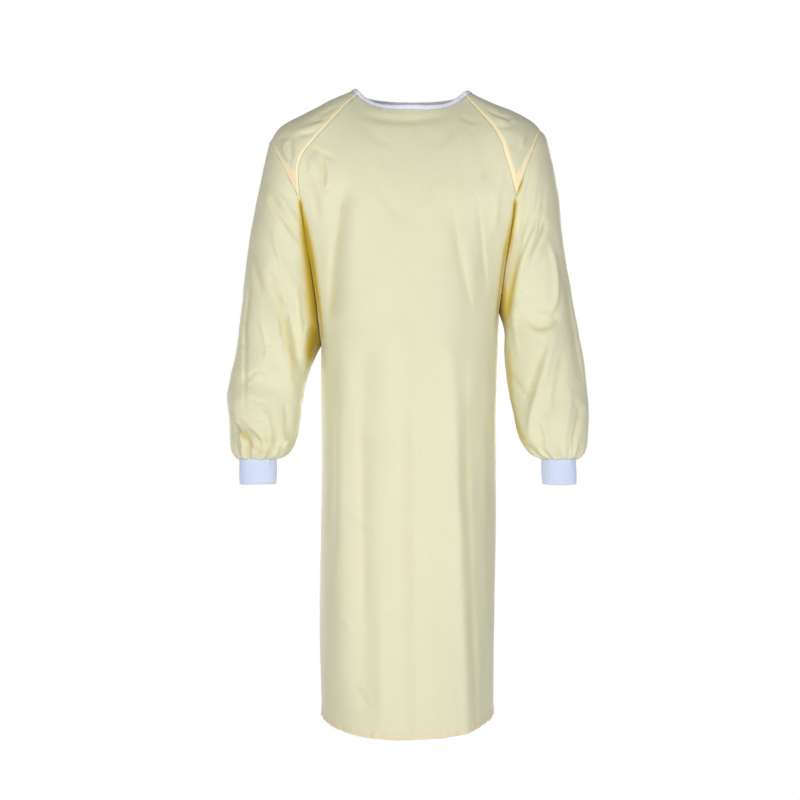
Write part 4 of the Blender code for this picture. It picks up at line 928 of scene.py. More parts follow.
# folds and waves fade towards a seam, down to a least share; seam relief is lower on lower sleeves
seamEase = {"edge": 0.022, "least": 0.25, "lowerSleeve": 0.6}
normals = seamNormals()
for name in grids:
    grids[name] = grids[name] + normals[name] * mainHeight(grids[name], normals[name])[..., None]
normals = seamNormals()
marks, smoothGrids = {}, {}
for seed, (name, grid) in enumerate(grids.items()):
    edges = allEdges(grid)
    away = np.minimum.reduce(list(edges.values()))
    if name.startswith("sleeve"):
        below = armpitRow + 3      # the tube below the armpit has no seam of its own
        away[below:] = np.minimum(edges["top"], edges["bottom"])[below:]
    loose = smoothStep(away / seamEase["edge"])
    folds = creaseHeight(name, grid, normals[name])
    detail, across, down = relief(name, grid, edges)
    gathers = np.zeros_like(detail)
    if name.startswith("sleeve"):
        side = name.split("_")[1]
        gathers, drops = gatherHeight(side, grid, gatherDepths[side])
        detail[armpitRow:] *= seamEase["lowerSleeve"]
    height = creaseGain[name.split("_")[0]] * folds * np.maximum(loose, seamEase["least"])
    height = height + slackWaves(name, grid, seed) * loose + (detail + gathers)
    smoothGrids[name] = grid.copy()
    if name.startswith("sleeve"):
        height[armpitRow:, -1] = height[armpitRow:, 0]
        drops[:, -1] = drops[:, 0]
    marks[name] = {"edges": edges, "across": across, "down": down, "folds": folds,
                   "gathers": gathers, "shade": shadeOf(name, grid, normals[name])}
    grids[name] = grid + normals[name] * height[..., None]
    if name.startswith("sleeve"):
        grids[name][armpitRow:, :, 2] -= drops
        smoothGrids[name][armpitRow:, :, 2] -= drops


def gridFaces(index, flip):
    a, b, c, d = index[:-1, :-1], index[1:, :-1], index[1:, 1:], index[:-1, 1:]
    faces = np.stack([a, b, c, d], axis=-1).reshape(-1, 4)
    return faces[:, ::-1] if flip else faces


def linked(name, data):
    thing = bpy.data.objects.new(name, data)
    bpy.context.scene.collection.objects.link(thing)
    return thing


def addSheet(name, grid, columns, flip, masks, material, thickness, closedFrom=None):
    # A cloth shell through the grid's points, with a UV map in metres and named masks.
    grid = grid[:, columns]
    count = grid.shape[0] * grid.shape[1]
    index = np.arange(count).reshape(grid.shape[:2])
    if closedFrom is not None:
        index[closedFrom:, -1] = index[closedFrom:, 0]
    faces = gridFaces(index, flip)
    corners = gridFaces(np.arange(count).reshape(grid.shape[:2]), flip)
    used, faces = np.unique(faces, return_inverse=True)
    mesh = bpy.data.meshes.new(name)
    mesh.from_pydata(grid.reshape(-1, 3)[used].tolist(), [], faces.reshape(-1, 4).tolist())
    flat = np.stack([masks["across"][:, columns], -masks["down"][:, columns]], axis=-1).reshape(-1, 2)
    uv = mesh.uv_layers.new(name="cloth")
    uv.data.foreach_set("uv", flat[corners.ravel()].astype(np.float32).ravel())
    for mask in ("seamMask", "foldMask", "edgeMask", "crumpleMask"):
        layer = mesh.attributes.new(mask, "FLOAT", "POINT")
        values = masks.get(mask, masks["seamMask"])[:, columns].reshape(-1)[used]
        layer.data.foreach_set("value", values.astype(np.float32))
    mesh.materials.append(material)
    mesh.shade_smooth()
    thing = linked(name, mesh)
    solid = thing.modifiers.new("Thickness", "SOLIDIFY")
    solid.thickness = thickness
    solid.offset = -1
    solid.use_rim = True
    bpy.context.view_layer.objects.active = thing
    thing.select_set(True)
    bpy.ops.object.modifier_apply(modifier=solid.name)
    thing.select_set(False)
    return thing


def fill(tree, node, sockets):  # each socket gets a value, or a link from another node's output
    for key, value in sockets.items():
        if hasattr(value, "is_output"):
            tree.links.new(value, node.inputs[key])
        else:
            node.inputs[key].default_value = value
    return node


def addNode(tree, kind, sockets=None, **settings):
    node = tree.nodes.new("ShaderNode" + kind)
    for key, value in settings.items():
        setattr(node, key, value)
    return fill(tree, node, sockets or {})


def mathNode(tree, operation, *values):
    return addNode(tree, "Math", dict(enumerate(values)), operation=operation).outputs[0]


def scaled(tree, value, factor, base):  # the value times the factor, on top of the base
    return mathNode(tree, "ADD", mathNode(tree, "MULTIPLY", value, factor), base)


def mixColour(tree, amount, first, second):
    first, second = ((*part, 1) if isinstance(part, tuple) else part for part in (first, second))
    return addNode(tree, "Mix", {0: amount, 6: first, 7: second}, data_type="RGBA").outputs[2]


def toned(tree, colour, value):
    return addNode(tree, "HueSaturation", {"Color": colour, "Value": value}).outputs[0]


def newGroup(name, inputs, outputs):
    tree = bpy.data.node_groups.new(name, "ShaderNodeTree")
    for label, kind, value in inputs:
        socket = tree.interface.new_socket(label, in_out="INPUT", socket_type=kind)
        if value is not None:
            socket.default_value = value
    for label, kind in outputs:
        tree.interface.new_socket(label, in_out="OUTPUT", socket_type=kind)
    return tree, tree.nodes.new("NodeGroupInput"), tree.nodes.new("NodeGroupOutput")


def weaveGroup():  # plain weave with uneven threads, from a place in metres
    tree, given, result = newGroup("plainWeave", [
        ("Place", "NodeSocketVector", None), ("Thread", "NodeSocketFloat", 0.0005),
        ("Slub", "NodeSocketFloat", 1.0)], [("Shade", "NodeSocketFloat"), ("Height", "NodeSocketFloat")])
    place = given.outputs["Place"]
    apart = addNode(tree, "SeparateXYZ", {0: place})
    turns = mathNode(tree, "DIVIDE", 2 * math.pi, given.outputs["Thread"])
    threads = (mathNode(tree, "MULTIPLY", apart.outputs[axis], turns) for axis in (0, 1))
    over = mathNode(tree, "MULTIPLY", *(mathNode(tree, "SINE", thread) for thread in threads))
    streaks = []
    for scale in ((700.0, 9.0, 1.0), (9.0, 700.0, 1.0)):
        stretch = addNode(tree, "Mapping", {0: place, "Scale": scale})
        noise = addNode(tree, "TexNoise", {"Vector": stretch.outputs[0], "Scale": 1.0, "Detail": 2.0},
                        noise_dimensions="2D")
        streaks.append(mathNode(tree, "SUBTRACT", noise.outputs[0], 0.5))
    slub = mathNode(tree, "MULTIPLY", mathNode(tree, "ADD", *streaks), given.outputs["Slub"])
    fill(tree, result, {"Shade": slub, "Height": mathNode(tree, "ADD", over, slub)})
    return tree


def crumpleGroup():  # faint creasing of cloth that has been folded and worn
    tree, given, result = newGroup("softCrumple", [
        ("Place", "NodeSocketVector", None), ("Size", "NodeSocketFloat", 20.0)],
        [("Height", "NodeSocketFloat"), ("Cloud", "NodeSocketFloat")])
    place = given.outputs["Place"]
    wide = addNode(tree, "TexNoise", {"Vector": place, "Scale": given.outputs["Size"],
                                      "Detail": 3.0, "Distortion": 0.8})
    cloud = addNode(tree, "TexNoise", {"Vector": place, "Scale": 7.0, "Detail": 2.0})
    ridge = mathNode(tree, "ABSOLUTE", mathNode(tree, "SUBTRACT", wide.outputs[0], 0.5))
    fill(tree, result, {"Height": mathNode(tree, "POWER", ridge, 0.8),
                        "Cloud": mathNode(tree, "SUBTRACT", cloud.outputs[0], 0.5)})
    return tree


groups = {"weave": weaveGroup(), "crumple": crumpleGroup()}


def attributeNode(tree, name):
    return addNode(tree, "Attribute", attribute_name=name).outputs["Fac"]


def clothPlace(tree):
    return addNode(tree, "UVMap", uv_map="cloth").outputs[0]


def objectPlace(tree):
    return addNode(tree, "TexCoord").outputs["Object"]


def grain(tree, scale, detail=2.0):
    sockets = {"Vector": objectPlace(tree), "Scale": scale, "Detail": detail}
    return addNode(tree, "TexNoise", sockets).outputs[0]


def bumpNode(tree, height, distance, strength, before=None):
    sockets = {"Strength": strength, "Distance": distance, "Height": height}
    if before is not None:
        sockets["Normal"] = before
    return addNode(tree, "Bump", sockets).outputs[0]


def startMaterial(name):
    material = bpy.data.materials.new(name)
    material.use_nodes = True
    return material, material.node_tree, material.node_tree.nodes["Principled BSDF"]


clothFinish = {
    "colour": (0.700, 0.682, 0.475),
    "seamColour": (0.960, 0.810, 0.520),
    # painted shade: gold and darker where cloth faces cloth and in crease troughs
    "paintedShadeColour": (0.620, 0.440, 0.020),
    "paintedShadeDarkening": 0.45,
    "paintedShadeWarmth": 1.5,                # how soon painted shade turns to the painted shade colour
    "edgeColour": (0.740, 0.655, 0.430),
    "thread": 0.0005,
    "slub": 0.030,
    "cloud": 0.06,
    "crumpleSize": 16.0,
    "crumple": {"front": 0.35, "back": 0.4, "shoulder": 0.8, "sleeve": 1.6},
    "weaveBump": (0.00003, 0.35), "wrinkleBump": (0.0040, 0.5),   # distance, strength
    "roughness": (0.12, 0.50),    # what the weave adds, and the least
    "sheen": 0.25, "sheenRoughness": 0.45, "specular": 0.35,
}


def clothMaterial():
    material, tree, shader = startMaterial("pale_yellow_cloth")
    weaving = addNode(tree, "Group", {"Place": clothPlace(tree), "Thread": clothFinish["thread"]},
                      node_tree=groups["weave"])
    crumple = addNode(tree, "Group", {"Place": objectPlace(tree), "Size": clothFinish["crumpleSize"]},
                      node_tree=groups["crumple"])
    # painted shade: the shade mask turns the colour gold and darker
    depth = attributeNode(tree, "foldMask")
    shadeDarkening = mathNode(tree, "MULTIPLY", mathNode(tree, "POWER", depth, 2.0), clothFinish["paintedShadeDarkening"])
    cloud = mathNode(tree, "MULTIPLY", crumple.outputs["Cloud"], clothFinish["cloud"])
    shade = scaled(tree, weaving.outputs["Shade"], clothFinish["slub"], cloud)
    shade = mathNode(tree, "ADD", mathNode(tree, "SUBTRACT", shade, shadeDarkening), 1.0)
    paintedShadeWarmth = mathNode(tree, "MINIMUM", mathNode(tree, "MULTIPLY", depth, clothFinish["paintedShadeWarmth"]), 1.0)
    colour = mixColour(tree, paintedShadeWarmth, clothFinish["colour"], clothFinish["paintedShadeColour"])
    for mask, tint in (("seamMask", "seamColour"), ("edgeMask", "edgeColour")):
        colour = mixColour(tree, attributeNode(tree, mask), colour, clothFinish[tint])
    wrinkle = mathNode(tree, "MULTIPLY", crumple.outputs["Height"], attributeNode(tree, "crumpleMask"))
    fine = bumpNode(tree, weaving.outputs["Height"], *clothFinish["weaveBump"])
    fill(tree, shader, {
        "Base Color": toned(tree, colour, shade),
        "Roughness": scaled(tree, weaving.outputs["Shade"], *clothFinish["roughness"]),
        "Normal": bumpNode(tree, wrinkle, *clothFinish["wrinkleBump"], fine),
        "Sheen Weight": clothFinish["sheen"], "Sheen Roughness": clothFinish["sheenRoughness"],
        "Specular IOR Level": clothFinish["specular"]})
    return material


ribFinish = {
    # valley: the colour of painted shade between the ribs
    "colour": (0.630, 0.700, 0.900), "valleyShade": (0.480, 0.550, 0.780),
    "stitch": 0.0012, "stitchLean": 2.2,
    "fuzz": 900.0, "fuzzHeight": 0.8, "bump": (0.00012, 0.5),
    "shade": {"loops": 0.03, "fuzz": (0.10, 0.95)},
    "roughness": (0.1, 0.78), "sheen": 0.3, "sheenRoughness": 0.6,
}


def ribMaterial():
    material, tree, shader = startMaterial("white_rib_knit")
    apart = addNode(tree, "SeparateXYZ", {0: clothPlace(tree)})
    turns = 2 * math.pi / ribFinish["stitch"]
    lean = mathNode(tree, "SINE", mathNode(tree, "MULTIPLY", apart.outputs[0], turns / 2))
    lean = mathNode(tree, "MULTIPLY", mathNode(tree, "ABSOLUTE", lean), ribFinish["stitchLean"])
    loops = mathNode(tree, "SINE", scaled(tree, apart.outputs[1], turns, lean))
    fuzz = grain(tree, ribFinish["fuzz"])
    # painted shade in the valleys between the ribs
    colour = mixColour(tree, attributeNode(tree, "foldMask"), ribFinish["colour"], ribFinish["valleyShade"])
    height = scaled(tree, fuzz, ribFinish["fuzzHeight"], loops)
    shade = scaled(tree, fuzz, *ribFinish["shade"]["fuzz"])
    fill(tree, shader, {
        "Base Color": toned(tree, colour, scaled(tree, loops, ribFinish["shade"]["loops"], shade)),
        "Roughness": scaled(tree, fuzz, *ribFinish["roughness"]),
        "Normal": bumpNode(tree, height, *ribFinish["bump"]),
        "Sheen Weight": ribFinish["sheen"], "Sheen Roughness": ribFinish["sheenRoughness"]})
    return material


bindingFinish = {"colour": (0.880, 0.890, 0.985), "line": (0.500, 0.490, 0.740), "thread": 0.0008,
                 "shade": (0.08, 1.0), "roughness": (0.1, 0.70), "bump": (0.00006, 0.5)}


def bindingMaterial():
    material, tree, shader = startMaterial("white_binding_tape")
    weaving = addNode(tree, "Group", {"Place": clothPlace(tree), "Thread": bindingFinish["thread"]},
                      node_tree=groups["weave"])
    shade = weaving.outputs["Shade"]
    line = attributeNode(tree, "edgeMask")
    colour = mixColour(tree, line, bindingFinish["colour"], bindingFinish["line"])
    fill(tree, shader, {
        "Base Color": toned(tree, colour, scaled(tree, shade, *bindingFinish["shade"])),
        "Roughness": scaled(tree, shade, *bindingFinish["roughness"]),
        "Normal": bumpNode(tree, weaving.outputs["Height"], *bindingFinish["bump"])})
    return material


threadFinish = {"grain": (2500.0,), "colours": ((0.800, 0.730, 0.470), (0.880, 0.830, 0.600)),
                "roughness": 0.45, "bump": (0.00005, 0.5)}
snapFinish = {"grain": (600.0, 3.0), "colours": ((0.780, 0.775, 0.740), (0.860, 0.855, 0.820)),
              "roughness": (0.15, 0.28), "bump": (0.00004, 0.3)}


def grainyMaterial(name, finish):  # one colour that varies a little, for the thread and the stud
    material, tree, shader = startMaterial(name)
    noise, roughness = grain(tree, *finish["grain"]), finish["roughness"]
    fill(tree, shader, {
        "Base Color": mixColour(tree, noise, *finish["colours"]),
        "Roughness": scaled(tree, noise, *roughness) if isinstance(roughness, tuple) else roughness,
        "Normal": bumpNode(tree, noise, *finish["bump"])})
    return material


finishes = {"cloth": clothMaterial(), "rib": ribMaterial(), "binding": bindingMaterial(),
            "thread": grainyMaterial("sewing_thread", threadFinish),
            "snap": grainyMaterial("moulded_snap", snapFinish)}

print("making the cloth panels")
sectionPoints = [len(spaced(1.0, count)) - 1 for count in (weave["backColumns"], weave["lapColumns"])]
lapStart, lapEnd = sectionPoints[0], sectionPoints[0] + sectionPoints[1]
lapHem = {"width": 0.010, "raise": 0.0005, "edge": 0.0006, "stitchInset": 0.0012}
masking = {
    "seam": 0.9, "hem": 0.85,
    "raglanEdge": 0.0008, "crossEdge": 0.0010, "hemEdge": 0.0012,
    "raglanStart": 0.6, "raglanGrowth": 1.4,      # a raglan band is paler towards the neck
    # strengths of painted shade in crease troughs and gather valleys, and less of it on the shoulders
    "creaseDepth": 0.0030, "creasePower": 1.3, "crease": 0.10,
    "gatherDepth": 0.0035, "gather": 0.20,
    "onShoulder": 0.5,
    # painted shade beside the armholes, with less of it where the left sleeve lies close
    "armholeWidth": 0.0040, "armholeLevels": (-0.208, -0.480), "armholeFades": (0.02, 0.03),
    "shutLevel": -0.350, "shutReach": 0.045, "shut": 0.65,
    "smoothUpperSleeve": 0.45, "crumpledFrom": -0.36, "crumpledOver": 0.16,
}


def armholeShade(name, edges):  # painted shade where cloth faces cloth beside the armholes
    x, level = grids[name][..., 0], grids[name][..., 2]
    side = np.minimum(edges["right"], edges["left"])
    if name.startswith("sleeve"):
        side = np.minimum(side, edges["top"])
    (top, end), (topFade, endFade) = masking["armholeLevels"], masking["armholeFades"]
    between = smoothStep((top - level) / topFade) * smoothStep((level - end) / endFade)
    if name in ("front", "sleeve_left"):  # on the left it lies closer, with little shade
        shut = nearLine(level - masking["shutLevel"], masking["shutReach"]) * (x > 0)
        between = between * (1 - masking["shut"] * shut)
    return nearLine(side, masking["armholeWidth"]) * between


def masksOf(name):
    mark = marks[name]
    edges = mark["edges"]
    seamMask = np.zeros(edges["right"].shape)
    edgeMask = np.zeros_like(seamMask)
    # painted shade mask: crease troughs, the listed warm shades, the armholes and gather valleys
    fold = np.clip(-mark["folds"] / masking["creaseDepth"], 0, 1) ** masking["creasePower"]
    fold = np.maximum(mark["shade"], fold * masking["crease"])
    if name.startswith("shoulder"):
        rows, columns = seamMask.shape
        near = np.minimum(edges["right"], edges["left"])
        grown = smoothStep(np.linspace(0, 1, rows) * masking["raglanGrowth"])[:, None]
        strength = masking["raglanStart"] + (1 - masking["raglanStart"]) * grown
        raglan = raised(near, raglanWidths(name, rows)[:, None], masking["raglanEdge"]) * strength
        seamMask = np.maximum(raglan, raised(edges["bottom"], crossWidths(name, columns),
                                             masking["crossEdge"]))
        fold *= masking["onShoulder"]
    else:
        gathers = np.clip(-mark["gathers"] / masking["gatherDepth"], 0, 1) * masking["gather"]
        fold = np.maximum(np.maximum(fold, armholeShade(name, edges)), gathers)
    if name in ("front", "back"):
        edgeMask = smoothStep((body["hemDepth"] - edges["bottom"]) / masking["hemEdge"]) * masking["hem"]
    crumple = np.full(seamMask.shape, clothFinish["crumple"][name.split("_")[0]])
    if name.startswith("sleeve"):
        least, below = masking["smoothUpperSleeve"], masking["crumpledFrom"] - grids[name][..., 2]
        crumple *= least + (1 - least) * smoothStep(below / masking["crumpledOver"])
    return {"seamMask": seamMask * masking["seam"], "foldMask": fold, "edgeMask": edgeMask,
            "crumpleMask": crumple, "across": mark["across"], "down": mark["down"]}


def dress(piece, slot, *nodes):
    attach(piece, "root")
    if nodes:
        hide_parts(*nodes)
    return piece


def clothPiece(name, node, columns, closedFrom=None, grid=None):
    grid = grids[name] if grid is None else grid
    shell = addSheet(node + "_cloth", grid, columns, flips[name], masksOf(name), finishes["cloth"],
                     weave["thickness"], closedFrom)
    return dress(shell, "cloth", node)


clothPiece("front", "front", every)
back = grids["back"]
lapAway = rimDistance(back, back[:, lapStart], every, slice(lapStart, lapStart + nearRows))
lapRaise = lapHem["raise"] * raised(lapAway, lapHem["width"], lapHem["edge"])
lapRaise[:, :lapStart] = 0
upper = back + normals["back"] * lapRaise[..., None]
under = back - normals["back"] * (body["lapDrop"] * lapDrops)[..., None]
clothPiece("back", "back_left", slice(lapStart, None), grid=upper)
clothPiece("back", "back_right", slice(0, lapEnd + 1), grid=under)
for side in lines:
    shoulder, arm = "shoulder_" + side, "sleeve_" + side
    clothPiece(shoulder, shoulder, every)
    clothPiece(arm, arm, every, armpitRow)


def bareMarks(across, down, **masks):  # marks of a piece with no seams of its own
    zero = np.zeros(across.shape)
    bare = {"across": across, "down": down, "seamMask": zero, "edgeMask": zero, "foldMask": zero}
    return bare | {mask: np.broadcast_to(values, across.shape) for mask, values in masks.items()}


cuff = {
    "ribs": 72, "pointsPerRib": 6, "rows": 32, "length": 0.0479, "wall": 0.0016, "seamGap": 0.0004,
    # the valley entries set the painted shade between the ribs
    "relief": 0.00045, "ribPower": 0.8, "valleyShade": 0.45, "valleyPower": 1.5,
    "drift": (-0.001, -0.009),    # inward and forward on the way down
    "roundedEnd": 0.0016, "roundedFrom": 0.955,
    "swell": 0.0009, "taper": 0.0004, "waves": (0.0007, 0.0004), "gathered": 0.0006, "slant": 0.0005,
}


def addCuff(side):
    sign = lines[side]["sign"]
    level, inner, outer, middle, halfDepth = lines[side]["sleeve"][-1][:5]
    halfWidth, top = (outer - inner) / 2, level + sleeve["raisedEnd"] + cuff["seamGap"]
    angle = np.linspace(-math.pi, math.pi, cuff["ribs"] * cuff["pointsPerRib"] + 1)
    rib = np.abs(np.cos(angle * cuff["ribs"] / 2)) ** cuff["ribPower"]
    # painted shade in the valleys between the ribs
    valleyShading = (1 - rib) ** cuff["valleyPower"] * cuff["valleyShade"]
    rows = []
    for share in np.linspace(0, 1, cuff["rows"] + 1):
        swell = cuff["swell"] * math.sin(math.pi * share) - cuff["taper"] * share
        turned = max(0.0, (share - cuff["roundedFrom"]) / (1 - cuff["roundedFrom"])) ** 2
        wave = (cuff["waves"][0] * np.sin(3 * angle + 2.1 * sign) * share
                + cuff["waves"][1] * np.sin(5 * angle - 4 * share))
        pinch = cuff["gathered"] * np.cos(angle * sleeve["gathers"]) * (1 - share) ** 6
        out = (rib - 1) * cuff["relief"] + swell - cuff["roundedEnd"] * turned + wave + pinch
        centreX = (inner + outer) / 2 + cuff["drift"][0] * share
        x = sign * (centreX + (halfWidth + out) * np.cos(angle))
        y = middle + cuff["drift"][1] * share + (halfDepth + out) * np.sin(angle)
        z = top - cuff["length"] * share + cuff["slant"] * np.sin(2 * angle + sign) * share
        rows.append(np.column_stack([x, y, z]))
    grid = np.array(rows)
    grid[:, -1] = grid[:, 0]
    shell = addSheet("cuff_" + side + "_knit", grid, every, sign < 0,
                     bareMarks(*gridRuns(grid), foldMask=valleyShading), finishes["rib"], cuff["wall"], 0)
    return dress(shell, "rib_knit", "cuff_" + side)


print("making the cuffs and the neck binding")
for side in lines:
    addCuff(side)

binding = {
    "height": 0.009, "tape": 0.0004, "points": 420, "smoothing": 24, "line": 0.9,
    "pucker": (0.013, 0.00025, 17),  # wave length, strength, seed
    # its section: share of the height, distance out of the skin
    "section": [(-0.13, 0.0005), (-0.10, 0.0007), (0.10, 0.0010), (0.45, 0.0012), (0.80, 0.0010),
                (0.95, 0.0005), (1.00, -0.0003), (0.95, -0.0011), (0.80, -0.0016), (0.45, -0.0018),
                (0.10, -0.0016), (-0.10, -0.0013)],
}


def edgeUps(grid):  # unit directions that carry the first row on, away from the cloth
    up = grid[0] - grid[6]        # the seventh row is far enough in to be steady
    along = unit(np.gradient(grid[0], axis=0))
    return unit(up - along * np.sum(up * along, axis=1, keepdims=True))


def neckRun(name, columns, grid=None):
    grid = grids[name] if grid is None else grid
    return grid[0, columns], normals[name][0, columns], edgeUps(grid)[columns]


def addBinding():
    runs = [neckRun("back", slice(lapEnd, None, -1), under),
            neckRun("shoulder_right", slice(None, None, -1)),
            neckRun("front", every), neckRun("shoulder_left", every),
            neckRun("back", slice(None, lapStart - 1, -1), upper)]
    points, outs, ups = (np.vstack(part) for part in zip(*runs))
    run = runAlong(points)
    keep = np.concatenate([[True], np.diff(run) > 1e-6])
    at = np.linspace(0, run[-1], binding["points"])
    points, outs, ups = (pointsAt(at, run[keep], part[keep]) for part in (points, outs, ups))
    for _ in range(binding["smoothing"]):
        ups[1:-1] = (ups[:-2] + 2 * ups[1:-1] + ups[2:]) / 4
        points[1:-1] = points[1:-1] * 0.9 + (points[:-2] + points[2:]) * 0.05
    outs, ups = unit(outs), unit(ups)
    wave = puckers(at, *binding["pucker"])
    section, height = np.array(binding["section"]), binding["height"]
    grid = np.array([points + ups * (share * height + wave * 0.6)[:, None]
                     + outs * (out + wave * (1 - abs(share - 0.5)))[:, None] for share, out in section])
    width = runAlong(section * (height, 1))
    line = np.zeros((len(section), 1))
    line[:2] = binding["line"]
    across, down = np.broadcast_arrays(at, width[:, None])
    tape = addSheet("neck_binding_tape", grid, every, False, bareMarks(across, down, edgeMask=line),
                    finishes["binding"], binding["tape"])
    dress(tape, "binding", "neck_binding")
    return points, outs, ups


neckPoints, neckOuts, neckUps = addBinding()

stitch = {"pitch": 0.0030, "length": 0.0022, "start": 0.15, "width": 0.00042, "lift": 0.00022,
          "onBinding": (0.0012, 0.0010)}       # up and out from the neck edge
stitchMesh = {"vertices": [], "faces": []}


def sewLine(points, outs):  # a row of single stitches along a line on the cloth
    run = runAlong(points)
    keep = np.concatenate([[True], np.diff(run) > 1e-7])
    run, points, outs = run[keep], points[keep], outs[keep]
    starts = (np.arange(int(run[-1] / stitch["pitch"])) + stitch["start"]) * stitch["pitch"]
    low, high = pointsAt(starts, run, points), pointsAt(starts + stitch["length"], run, points)
    out = unit(pointsAt(starts, run, outs))
    beside = unit(np.cross(out, unit(high - low))) * stitch["width"] / 2
    for k in range(len(starts)):
        base = len(stitchMesh["vertices"])
        ring = []
        for centre in (low[k] * 0.75 + high[k] * 0.25, low[k] * 0.25 + high[k] * 0.75):
            middle, lift = centre + out[k] * stitch["lift"] * 0.5, out[k] * stitch["lift"]
            ring += [middle + beside[k], middle + lift, middle - beside[k], middle - lift]
        stitchMesh["vertices"] += [low[k], *ring, high[k]]
        for step in range(4):
            here, after = base + 1 + step, base + 1 + (step + 1) % 4
            stitchMesh["faces"] += [(base, here, after), (here, here + 4, after + 4, after),
                                    (here + 4, base + 9, after + 4)]


def insetLine(name, edge, width, grid=None):  # the line that lies this far in from an edge
    grid = grids[name] if grid is None else grid
    distance, outs = marks[name]["edges"][edge], normals[name]
    if edge in ("top", "bottom"):
        grid, distance, outs = (part.swapaxes(0, 1) for part in (grid, distance, outs))
    if edge in ("left", "bottom"):
        grid, distance, outs = grid[:, ::-1], distance[:, ::-1], outs[:, ::-1]
    width = np.broadcast_to(width, len(grid))
    line, lineOuts = [], []
    for row, far, out, wanted in zip(grid, distance, outs, width):
        after = np.argmax(far >= wanted)
        if far[after] < wanted or after == 0:
            continue
        part = (wanted - far[after - 1]) / max(far[after] - far[after - 1], 1e-9)
        line.append(row[after - 1] * (1 - part) + row[after] * part)
        lineOuts.append(out[after])
    return np.array(line), np.array(lineOuts)


print("sewing")
inset = seam["stitchInset"]
for side in lines:
    piece = "shoulder_" + side
    raglan = raglanWidths(piece, len(grids[piece]))
    cross = crossWidths(piece, grids[piece].shape[1])
    for edge, widths in (("right", raglan), ("left", raglan), ("bottom", cross)):
        sewLine(*insetLine(piece, edge, inset + seam["bandEdge"]))
        sewLine(*insetLine(piece, edge, widths - inset))
sewLine(*insetLine("front", "bottom", hem["stitchLine"]))
for grid, columns in ((under, slice(0, lapStart)), (upper, slice(lapStart, None))):
    points, outs = insetLine("back", "bottom", hem["stitchLine"], grid)
    sewLine(points[columns], outs[columns])
belowArms = len(raglanAt) + armpitRow
for edge in ("right", "left"):
    points, outs = insetLine("back", edge, seam["sideInset"])
    sewLine(points[belowArms:], outs[belowArms:])
lapAt = [int(np.argmax(far >= lapHem["width"] - lapHem["stitchInset"])) for far in lapAway[:, lapStart:]]
lapRows = np.arange(len(lapAt))
sewLine(upper[:, lapStart:][lapRows, lapAt], normals["back"][:, lapStart:][lapRows, lapAt])
up, out = stitch["onBinding"]
sewLine(neckPoints + neckUps * up + neckOuts * out, neckOuts)
stitches = bpy.data.meshes.new("topstitching")
stitches.from_pydata([tuple(point) for point in stitchMesh["vertices"]], [], stitchMesh["faces"])
stitches.materials.append(finishes["thread"])
stitches.shade_smooth()
dress(linked("topstitching", stitches), "cloth")
print("  topstitching faces", len(stitchMesh["faces"]))

snap = {"radius": 0.0055, "height": 0.0016, "rim": 0.0012, "dish": 0.0005, "knob": 0.6,
        "rounding": 0.0003, "belowNeck": 0.020}


def addSnap():
    column = (lapStart + lapEnd) // 2
    down, wanted = runAlong(upper[:, column]), [snap["belowNeck"]]
    seat = pointsAt(wanted, down, upper[:, column])[0]
    out = unit(pointsAt(wanted, down, normals["back"][:, column])[0])
    turn = Vector(out).to_track_quat("Z", "Y").to_euler()
    bpy.ops.mesh.primitive_cylinder_add(vertices=48, radius=snap["radius"], depth=snap["height"],
                                        location=seat + out * snap["height"] / 2, rotation=turn)
    stud = bpy.context.object
    stud.name = stud.data.name = "snap_stud"
    bpy.ops.object.mode_set(mode="EDIT")
    bpy.ops.mesh.select_all(action="DESELECT")
    shape = bmesh.from_edit_mesh(stud.data)
    for face in shape.faces:
        face.select = len(face.verts) > 4 and face.normal.z > 0
    bmesh.update_edit_mesh(stud.data)
    for rise in (-1, snap["knob"]):
        bpy.ops.mesh.inset(thickness=snap["rim"])
        bpy.ops.transform.translate(value=Vector(out) * snap["dish"] * rise)
    bpy.ops.object.mode_set(mode="OBJECT")
    rounding = stud.modifiers.new("Rounding", "BEVEL")
    rounding.width = snap["rounding"]
    rounding.segments = 3
    rounding.limit_method = "ANGLE"
    bpy.ops.object.modifier_apply(modifier=rounding.name)
    bpy.ops.object.transform_apply(location=True, rotation=True, scale=True)
    bpy.ops.object.shade_smooth_by_angle(angle=math.radians(40))
    stud.data.materials.append(finishes["snap"])
    stud.select_set(False)
    return dress(stud, "snap", "snap")


addSnap()

print("studio")
studio = {"floor": -1.46, "size": 9.0, "ambient": 0.27}


def whiteToLookAt(tree, plain, white):  # what the camera sees, and what lights the gown
    seen = addNode(tree, "LightPath").outputs["Is Camera Ray"]
    return addNode(tree, "MixShader", {0: seen, 1: plain, 2: white}).outputs[0]


def stageMaterial():
    material, tree, shader = startMaterial("white_studio")
    fill(tree, shader, {"Base Color": (0.82, 0.82, 0.82, 1), "Roughness": 0.9})
    glow = addNode(tree, "Emission", {"Color": (1.0, 1.0, 1.0, 1), "Strength": 1.0}).outputs[0]
    surface = whiteToLookAt(tree, shader.outputs[0], glow)
    fill(tree, tree.nodes["Material Output"], {"Surface": surface})
    return material


def addFloor():
    bpy.ops.mesh.primitive_plane_add(size=studio["size"], location=(0, 0, studio["floor"]))
    floor = bpy.context.object
    floor.name = "floor"
    floor.data.materials.append(stageMaterial())
    floor.select_set(False)


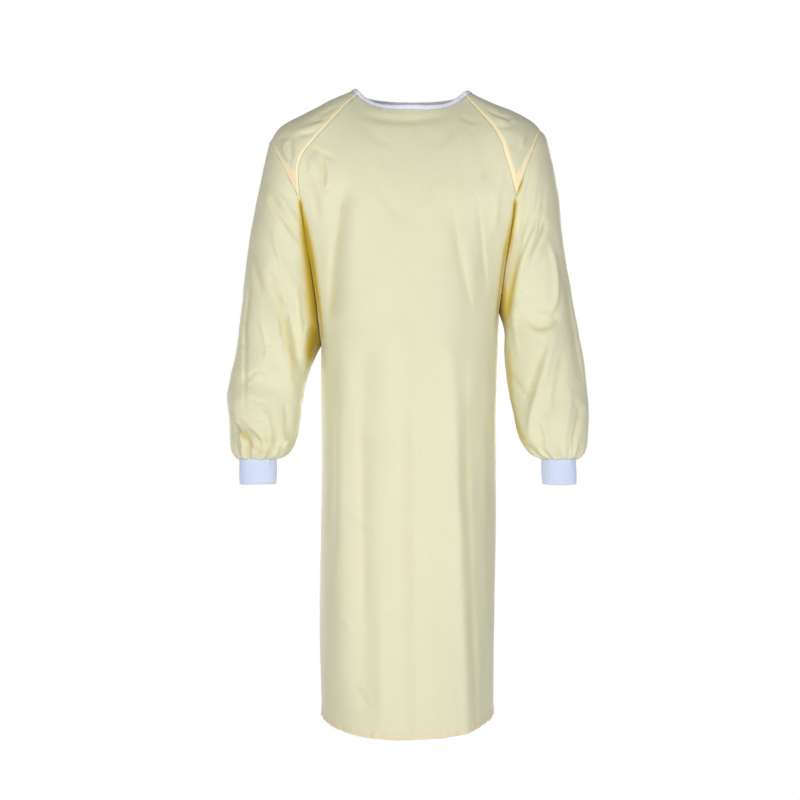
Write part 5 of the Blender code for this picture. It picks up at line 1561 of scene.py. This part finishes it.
def addWorld():  # white to look at, and dimmer as a light
    world = bpy.data.worlds.new("studio")
    world.use_nodes = True
    tree = world.node_tree
    white = {"Color": (1.0, 1.0, 1.0, 1)}
    dim = fill(tree, tree.nodes["Background"], white | {"Strength": studio["ambient"]})
    surface = whiteToLookAt(tree, dim.outputs[0], addNode(tree, "Background", white).outputs[0])
    fill(tree, tree.nodes["World Output"], {"Surface": surface})
    bpy.context.scene.world = world


def addLight(name, place, aim, size, power, colour):
    light = bpy.data.lights.new(name, "AREA")
    light.shape = "RECTANGLE"
    light.size, light.size_y = size
    light.energy = power
    light.color = colour
    lamp = linked(name, light)
    lamp.location = place
    lamp.rotation_euler = (Vector(aim) - Vector(place)).to_track_quat("-Z", "Y").to_euler()


lights = [
    ("key", (-0.95, -2.0, -0.45), (0.0, 0.0, -0.48), (1.2, 1.2), 25, (1.0, 0.99, 0.97)),
    ("fill", (1.3, -1.8, -0.60), (0.0, 0.0, -0.60), (1.1, 1.2), 18, (0.97, 0.98, 1.0)),
    ("behind", (1.1, 2.5, -0.1), (0.0, 0.0, -0.5), (1.0, 1.4), 42, (1.0, 0.99, 0.97)),
    ("behindFill", (-1.5, 2.2, -0.7), (0.0, 0.0, -0.6), (1.4, 1.4), 16, (0.97, 0.98, 1.0)),
    ("low", (-0.3, -2.6, -1.35), (0.0, 0.0, -0.9), (1.6, 0.8), 2, (1.0, 0.99, 0.96)),
    ("collar", (0.0, -0.60, 0.36), (0.0, 0.04, 0.00), (0.3, 0.2), 0.25, (1.0, 1.0, 1.0)),
]
camera = {"place": (-0.01504, -2.8, -0.5828), "frameWidth": 1.504, "distance": 2.8}


def addCamera():
    lens = bpy.data.cameras.new("camera")
    lens.sensor_width = 36
    lens.lens = lens.sensor_width * camera["distance"] / camera["frameWidth"]
    lens.clip_end = 60
    eye = linked("camera", lens)
    eye.location = camera["place"]
    eye.rotation_euler = (math.pi / 2, 0, 0)
    bpy.context.scene.camera = eye


addFloor()
addWorld()
for values in lights:
    addLight(*values)
addCamera()
bpy.context.scene.view_settings.view_transform = "Standard"
bpy.context.scene.view_settings.look = "None"
